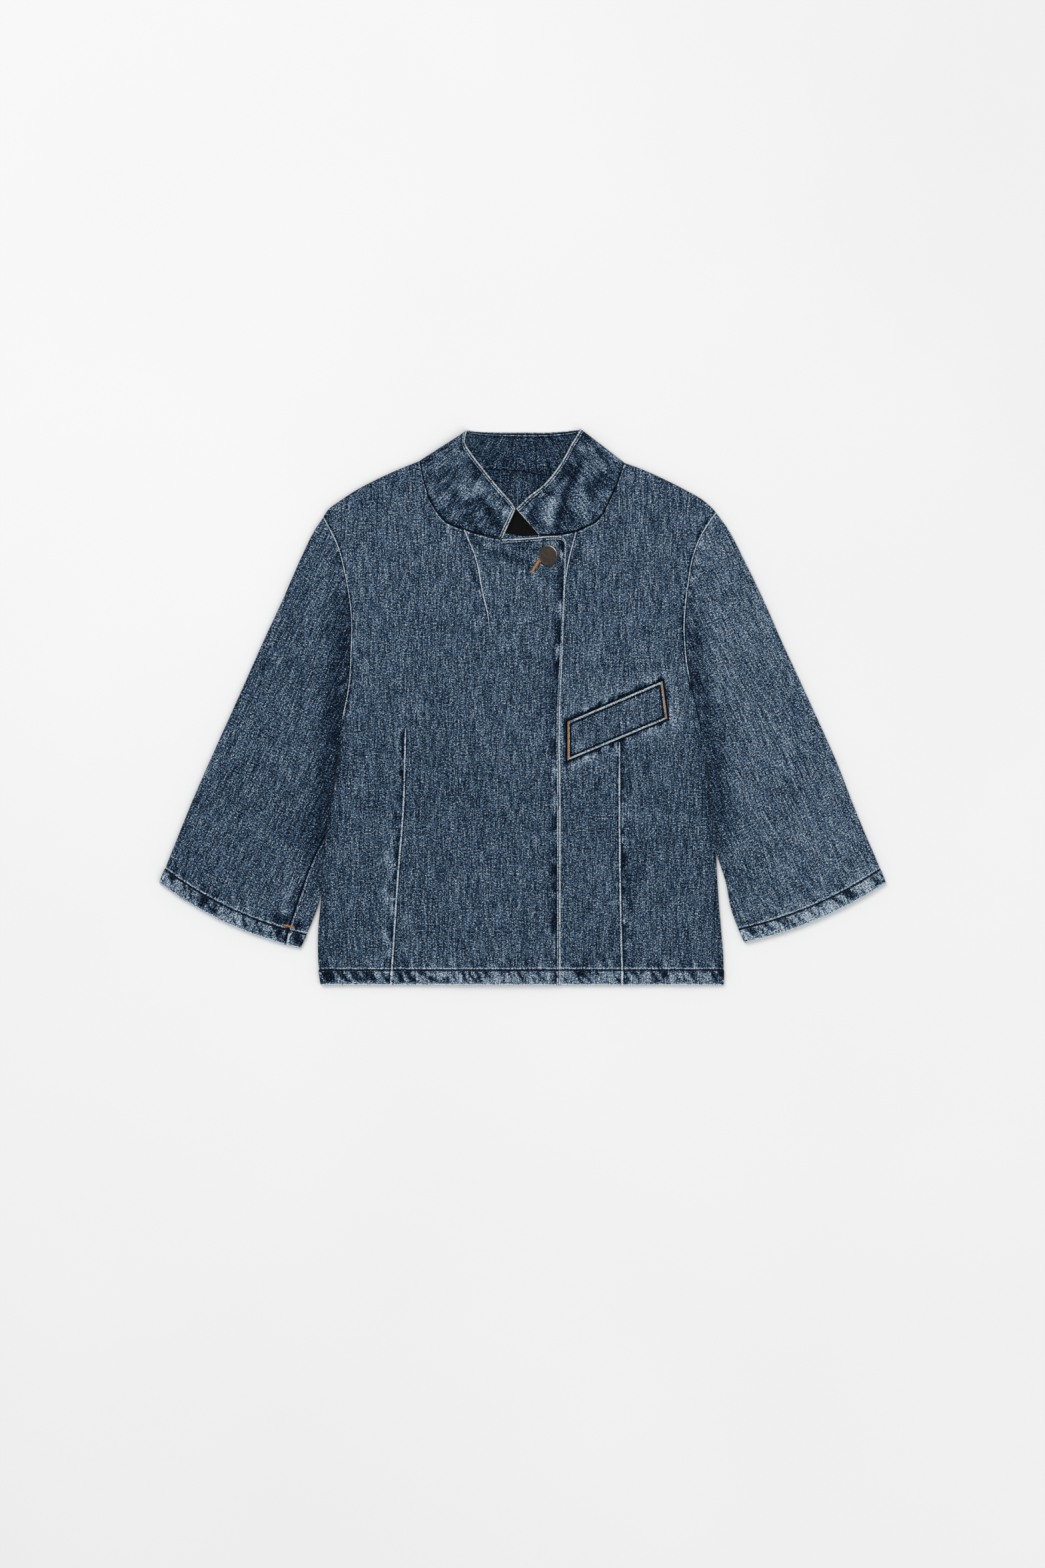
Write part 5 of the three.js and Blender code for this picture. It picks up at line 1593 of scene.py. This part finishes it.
def button():
    """Button: a turned cap with a rolled rim round a shallow disc, and its shank.

    The profile runs from the middle of the underside over the rim to the middle of the top.
    """
    r = BUTTON["radius"]
    profile = np.array([
        (0.3, -1.0), (r * 0.5, -1.0), (r * 0.86, -1.0), (r * 0.95, -0.75), (r, -0.2), (r, 0.6),
        (r, 1.3), (r * 0.992, 1.75), (r * 0.965, 2.05), (r * 0.925, 2.2), (r * 0.885, 2.15),
        (r * 0.86, 2.05), (r * 0.83, 1.98), (r * 0.8, 1.98), (r * 0.7, 2.05), (r * 0.55, 2.15),
        (r * 0.4, 2.25), (r * 0.22, 2.3), (0.3, 2.32),
    ])
    fine = Line(profile, 120).points
    points = turned_surface(fine, 96)
    rim_wear_and_highlight = bell(np.hypot(fine[:, 0] - r * 0.97, fine[:, 1] - 1.9), 0.6)
    angle = np.linspace(0, 2 * math.pi, 96, endpoint=False)
    axis_heading = BUTTON["heading"] + math.pi / 2
    axis = np.array([math.cos(axis_heading), math.sin(axis_heading), 0])
    turn = BUTTON["tilt"]
    cosine, sine = math.cos(turn), math.sin(turn)
    points = (
        points * cosine + np.cross(axis, points) * sine
        + (points @ axis)[..., None] * axis * (1 - cosine)
    )
    # Painted highlight: one side of the rim is made pale, as if lit, over faint rubbing all round the rim.
    highlight_side = 0.1 + 1.1 * bell(np.angle(np.exp(1j * (angle - 0.95))), 0.8)
    rim_wear_and_highlight = rim_wear_and_highlight[:, None] * highlight_side[None]
    points = points + np.array([BUTTON["x"], BUTTON["y"], BUTTON["middle"]])
    cap, cap_quads, cap_ends = closed_turning(points)
    foot = FRONT_LAYER + HALF_WALL + SEAM_GAP
    shank_profile = np.array([
        (2.3, foot), (BUTTON["shank"], foot + 0.3), (BUTTON["shank"], foot + 0.9),
        (2.2, foot + 1.4), (2.2, BUTTON["middle"]),
    ])
    shank_points = turned_surface(shank_profile, 32) + np.array([BUTTON["x"], BUTTON["y"], 0])
    shank, shank_quads, shank_ends = closed_turning(shank_points)
    made = mesh_object(
        "jacket_button", np.concatenate([cap, shank]),
        np.concatenate([cap_quads, shank_quads + len(cap)]),
        np.concatenate([cap_ends, shank_ends + len(cap)]), 60,
    )
    give(made, "rim_wear_and_highlight", np.concatenate([rim_wear_and_highlight.ravel(), [0, 0], np.zeros(len(shank))]))
    finish_piece(made, "button", brass_material())


def threads(starts, ends, ups, radius, arch, sink=0.35, rings=5, sides=6):
    """Short laid threads: each runs from its start to its end, arched as a half sine.

    Its round section narrows to the ends, which dip into the cloth by sink radii.
    """
    t = np.linspace(0.04, 0.96, rings)
    way = ends - starts
    forward = unit(way)
    side = unit(np.cross(forward, ups))
    lift = (arch * np.sin(math.pi * t) - sink * radius)[None, :, None]
    middle = starts[:, None] + way[:, None] * t[None, :, None] + ups[:, None] * lift
    size = radius * (0.5 + 0.5 * np.sin(math.pi * t) ** 0.5)
    angle = np.linspace(0, 2 * math.pi, sides, endpoint=False)
    around = (
        side[:, None, None] * np.cos(angle)[None, None, :, None]
        + ups[:, None, None] * np.sin(angle)[None, None, :, None]
    )
    points = middle[:, :, None] + around * size[None, :, None, None]
    count = len(starts)
    number = np.arange(count * rings * sides).reshape(count, rings, sides)
    after = np.roll(number, -1, axis=2)
    quads = np.stack([number[:, :-1], number[:, 1:], after[:, 1:], after[:, :-1]], -1).reshape(-1, 4)
    first = count * rings * sides
    tails = np.concatenate([starts - ups * radius, ends - ups * radius])
    low = first + np.arange(count)[:, None] + np.zeros(sides, int)
    high = low + count
    bottom = np.stack([number[:, 0], after[:, 0], low], -1).reshape(-1, 3)
    top = np.stack([after[:, -1], number[:, -1], high], -1).reshape(-1, 3)
    return np.concatenate([points.reshape(-1, 3), tails]), quads, np.concatenate([bottom, top])


def thread_object(name, material, batches):
    """One joined mesh of several batches of threads."""
    points, quads, triangles = [], [], []
    first = 0
    for batch_points, batch_quads, batch_triangles in batches:
        points.append(batch_points)
        quads.append(batch_quads + first)
        triangles.append(batch_triangles + first)
        first += len(batch_points)
    made = mesh_object(name, np.concatenate(points), np.concatenate(quads), np.concatenate(triangles), 80)
    made.data.materials.append(material)
    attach(made, "root")
    return made


def running_stitch(line, ups, pitch, radius):
    """Threads along a line of surface points, a short gap after each."""
    path = Line.__new__(Line).follow(line)
    count = int(path.length / pitch)
    starts = (np.arange(count) + 0.14) * pitch
    ends = (np.arange(count) + 0.86) * pitch
    up_at = np.stack([np.interp(starts, path.lengths, ups[:, k]) for k in range(3)], -1)
    return threads(path.at(starts), path.at(ends), unit(up_at), radius, radius * 0.8)


def satin_stitch(line, ups, width, radius):
    """Close threads laid square across a line of surface points."""
    path = Line.__new__(Line).follow(line)
    count = int(path.length / (radius * 1.9))
    places = (np.arange(count) + 0.5) * path.length / count
    up_at = unit(np.stack([np.interp(places, path.lengths, ups[:, k]) for k in range(3)], -1))
    forward = unit(path.at(places + 0.05) - path.at(places - 0.05))
    side = unit(np.cross(forward, up_at)) * width / 2
    middle = path.at(places)
    return threads(middle - side, middle + side, up_at, radius, radius * 1.6, sink=0.0)


def inset_line(surface, distance, axis, from_end):
    """Line on a surface at a distance from one of its edges, and the surface's normals there.

    Each row or column is read at the place where its length from the edge is the distance.
    """
    normals = normals_of(surface)
    if axis == 0:
        surface, normals = surface.transpose(1, 0, 2), normals.transpose(1, 0, 2)
    if from_end:
        surface, normals = surface[:, ::-1], normals[:, ::-1]
    run = runs(surface, 1)
    after = np.clip((run < distance).sum(axis=1), 1, run.shape[1] - 1)
    row = np.arange(len(run))
    before = run[row, after - 1]
    share = ((distance - before) / np.maximum(run[row, after] - before, 1e-6))[:, None]
    line = lerp(surface[row, after - 1], surface[row, after], share)
    return line, unit(lerp(normals[row, after - 1], normals[row, after], share))


def sewn(face, distance, axis, from_end, kept=slice(None), size=1.0, side=1):
    """Running stitches on a piece's face, along a line at a distance from one of its edges.

    kept is a slice, or a function that picks points of the line.
    """
    s = settings()
    line, ups = inset_line(FACES[face], distance, axis, from_end)
    kept = kept(line) if callable(kept) else kept
    radius = size * s.thread_radius / MM
    return running_stitch(line[kept], side * ups[kept], s.stitch_pitch / MM, radius)


def hem_stitches():
    """Navy stitches along each hem, just below the top of its band."""
    def clear_of_lap(line):
        return line[:, 0] > LEFT_HEM_START + 3

    thread_object("hem_stitches", thread_material("navy_thread", settings().navy_thread), [
        sewn("front_right", HEM_STITCH_INSET, 0, False),
        sewn("front_left", HEM_STITCH_INSET, 0, False, clear_of_lap),
        sewn("sleeve_right", HEM_STITCH_INSET, 0, False),
        sewn("sleeve_left", HEM_STITCH_INSET, 0, False),
        sewn("back", HEM_STITCH_INSET, 0, False, size=FINE_THREAD, side=-1),
    ])


def edge_stitches():
    """Navy topstitches along the lap, the collar, the welt and the top of the label."""
    def on_lap_top(line):
        return (line[:, 0] > -24) & (line[:, 0] < 44)

    thread_object("edge_stitches", thread_material("navy_thread", settings().navy_thread), [
        sewn("front_right", TOPSTITCH_INSET, 1, True, slice(6, -8)),
        sewn("front_right", TOPSTITCH_INSET, 0, True, on_lap_top),
        sewn("collar", TOPSTITCH_INSET, 0, True, slice(3, -3)),
        sewn("collar", TOPSTITCH_INSET, 1, True, slice(2, -4)),
        sewn("welt", WELT_STITCH_INSET, 0, False, slice(4, -4)),
        sewn("welt", WELT_STITCH_INSET, 0, True, slice(4, -4)),
        sewn("label", LABEL_STITCH_INSET, 0, True, slice(2, -2), FINE_THREAD),
    ])


def orange_tacks():
    """Orange satin bars at both ends of the welt and across the underarm seam at its hem."""
    tacks = []
    for from_end in (False, True):
        line, ups = inset_line(FACES["welt"], WELT_TACK["inset"], 1, from_end)
        tacks.append(satin_stitch(line[1:-1], ups[1:-1], WELT_TACK["width"], TACK_THREAD))
    tack = UNDERARM_TACK
    x, y = tack["x"], tack["y"]
    height = surface_height(FACES["sleeve_right"], x, y) + TACK_LIFT
    line = np.array([
        (x - tack["reach"], y + tack["slant"], height),
        (x + tack["reach"], y - tack["slant"], height),
    ])
    tacks.append(satin_stitch(line, np.array([UP, UP]), tack["width"], TACK_THREAD))
    thread_object("orange_tacks", thread_material("orange_thread", settings().orange_thread), tacks)


def buttonhole_threads():
    """Irregular orange threads laid square along the buttonhole, and a few loose cream ones."""
    s = settings()
    way = np.array([math.cos(BUTTONHOLE["heading"]), math.sin(BUTTONHOLE["heading"])])
    square = np.array([-way[1], way[0]])
    random = np.random.default_rng(s.seed)
    count = BUTTONHOLE["threads"]
    share = np.linspace(0, 1, count)[:, None]
    middle = np.array(BUTTONHOLE["end"]) - (1 - share) * BUTTONHOLE["length"] * way
    middle = middle + random.uniform(-0.5, 0.5, (count, 1)) * square
    half = square * lerp(*BUTTONHOLE["reach"], share) + way * random.uniform(-0.9, 0.9, (count, 1))
    face = FACES["front_right"]
    loops = laid_on(face, middle - half, middle + half, BUTTONHOLE["radius"])
    thread_object("buttonhole_thread", thread_material("orange_thread", s.orange_thread), [loops])

    starts, ends = np.array(FRAYED["starts"]), np.array(FRAYED["ends"])
    cream = thread_material("cream_thread", FRAYED["color"])
    thread_object("frayed_thread", cream, [laid_on(face, starts, ends, FRAYED["radius"])])


def surface_height(surface, x, y):
    """Height of the surface's highest point near a place."""
    near = np.hypot(surface[..., 0] - x, surface[..., 1] - y) < 3
    return float(surface[..., 2][near].max())


def laid_on(surface, starts, ends, radius):
    """Threads between plan points, laid at the surface's height there."""
    def raised(plan):
        flat = surface.reshape(-1, 3)
        away = np.hypot(flat[None, :, 0] - plan[:, None, 0], flat[None, :, 1] - plan[:, None, 1])
        return np.concatenate([plan, flat[away.argmin(axis=1), 2][:, None] + 0.1], -1)

    ups = np.tile(UP, (len(starts), 1))
    return threads(raised(starts), raised(ends), ups, radius, radius * 1.4, sink=0.1)


class JACKET_OT_fronts(bpy.types.Operator):
    """Make the two front panels of denim"""

    bl_idname = "jacket.fronts"
    bl_label = "Fronts"

    def execute(self, context):
        for name in ("right", "left"):
            FACES["front_" + name] = front_panel(name)
        return {"FINISHED"}


class JACKET_OT_back(bpy.types.Operator):
    """Make the back panel of denim"""

    bl_idname = "jacket.back"
    bl_label = "Back"

    def execute(self, context):
        FACES["back"] = back_panel()
        return {"FINISHED"}


class JACKET_OT_sleeves(bpy.types.Operator):
    """Make the two sleeves"""

    bl_idname = "jacket.sleeves"
    bl_label = "Sleeves"

    def execute(self, context):
        for name in ("right", "left"):
            FACES["sleeve_" + name] = sleeve(name)
        return {"FINISHED"}


class JACKET_OT_collar(bpy.types.Operator):
    """Make the stand collar"""

    bl_idname = "jacket.collar"
    bl_label = "Collar"

    def execute(self, context):
        FACES["collar"] = collar()
        return {"FINISHED"}


class JACKET_OT_neck_lining(bpy.types.Operator):
    """Make the facing inside the back neck and its bare label"""

    bl_idname = "jacket.neck_lining"
    bl_label = "Neck Facing and Label"

    def execute(self, context):
        neck_facing()
        FACES["label"] = neck_label()
        return {"FINISHED"}


class JACKET_OT_pocket(bpy.types.Operator):
    """Make the welt of the pocket on the left front"""

    bl_idname = "jacket.pocket"
    bl_label = "Pocket Welt"

    def execute(self, context):
        FACES["welt"] = pocket_welt()
        return {"FINISHED"}


class JACKET_OT_button(bpy.types.Operator):
    """Make the metal button"""

    bl_idname = "jacket.button"
    bl_label = "Button"

    def execute(self, context):
        button()
        return {"FINISHED"}


class JACKET_OT_stitching(bpy.types.Operator):
    """Sew hems, edges, tacks and the buttonhole on the pieces that are there"""

    bl_idname = "jacket.stitching"
    bl_label = "Stitching"

    def execute(self, context):
        missing = [name for name in SEWN_FACES if name not in FACES]
        if missing:
            raise RuntimeError("make these pieces first: " + ", ".join(missing))
        hem_stitches()
        edge_stitches()
        orange_tacks()
        buttonhole_threads()
        return {"FINISHED"}


class JACKET_OT_stage(bpy.types.Operator):
    """Lay out the floor, the lamps and the camera above the jacket"""

    bl_idname = "jacket.stage"
    bl_label = "Stage"

    def execute(self, context):
        floor()
        lights()
        camera()
        return {"FINISHED"}


def link(name, data):
    """New object in the scene."""
    made = bpy.data.objects.new(name, data)
    bpy.context.scene.collection.objects.link(made)
    return made


def floor():
    """Pale square floor, just below the jacket's underside."""
    half, z = FLOOR["half"], FLOOR["height"]
    mesh = bpy.data.meshes.new("floor")
    mesh.from_pydata([(-half, -half, z), (half, -half, z), (half, half, z), (-half, half, z)], [], [
        (0, 1, 2, 3)])
    n = Nodes("pale_floor")
    place = n.add("TexCoord").outputs["Object"]
    uneven = n.noise(place, 400, 400, 2, 0.5)
    color = n.ramp(uneven, [(0.3, (0.86, 0.86, 0.86)), (0.7, (0.88, 0.88, 0.88))])
    mesh.materials.append(n.surface(color, roughness=0.9, specular_ior_level=0.1))
    link("floor", mesh)


def lights():
    """Even light from all round, and square lamps that face the jacket's middle."""
    s = settings()
    world = bpy.data.worlds.new("even_light")
    world.use_nodes = True
    background = world.node_tree.nodes["Background"]
    background.inputs["Color"].default_value = (1, 1, 1, 1)
    background.inputs["Strength"].default_value = s.sky
    bpy.context.scene.world = world
    for name, (place, size, share) in LAMPS.items():
        light = bpy.data.lights.new(name, "AREA")
        light.size = size
        light.energy = s.lamp_power * share
        lamp = link(name, light)
        lamp.location = place
        heading = -np.array(place)
        lamp.rotation_euler = (
            math.atan2(math.hypot(heading[0], heading[1]), -heading[2]), 0,
            math.atan2(heading[1], heading[0]) - math.pi / 2,
        )


def camera():
    """Camera straight above, framed so that the jacket lies where it does in the picture."""
    s = settings()
    millimetre = PICTURE["scale"] * MM
    data = bpy.data.cameras.new("camera")
    data.sensor_width = 36
    data.lens = data.sensor_width * s.camera_height / (PICTURE["height"] * millimetre)
    made = link("camera", data)
    offset = (PICTURE["middle_row"] - PICTURE["height"] / 2) * millimetre
    made.location = (0, offset, s.camera_height)
    bpy.context.scene.camera = made
    bpy.context.scene.view_settings.view_transform = "Standard"


class JACKET_PT_panel(bpy.types.Panel):
    """Lists the jacket's pieces in the sidebar"""

    bl_idname = "JACKET_PT_panel"
    bl_label = "Denim Jacket"
    bl_space_type = "VIEW_3D"
    bl_region_type = "UI"
    bl_category = "Jacket"

    def draw(self, context):
        layout = self.layout
        for operator in OPERATORS:
            layout.operator(operator.bl_idname)
        for name in JacketSettings.__annotations__:
            layout.prop(context.scene.jacket, name)


OPERATORS = (
    JACKET_OT_fronts, JACKET_OT_back, JACKET_OT_sleeves, JACKET_OT_collar, JACKET_OT_neck_lining,
    JACKET_OT_pocket, JACKET_OT_button, JACKET_OT_stitching, JACKET_OT_stage,
)


def register():
    bpy.utils.register_class(JacketSettings)
    bpy.types.Scene.jacket = PointerProperty(type=JacketSettings)
    for operator in OPERATORS:
        bpy.utils.register_class(operator)
    bpy.utils.register_class(JACKET_PT_panel)


def unregister():
    bpy.utils.unregister_class(JACKET_PT_panel)
    for operator in reversed(OPERATORS):
        bpy.utils.unregister_class(operator)
    del bpy.types.Scene.jacket
    bpy.utils.unregister_class(JacketSettings)


def main():
    register()
    bpy.ops.jacket.stage()
    bpy.ops.jacket.fronts()
    bpy.ops.jacket.back()
    bpy.ops.jacket.sleeves()
    bpy.ops.jacket.collar()
    bpy.ops.jacket.neck_lining()
    bpy.ops.jacket.pocket()
    bpy.ops.jacket.button()
    bpy.ops.jacket.stitching()


if __name__ == "__main__":
    main()
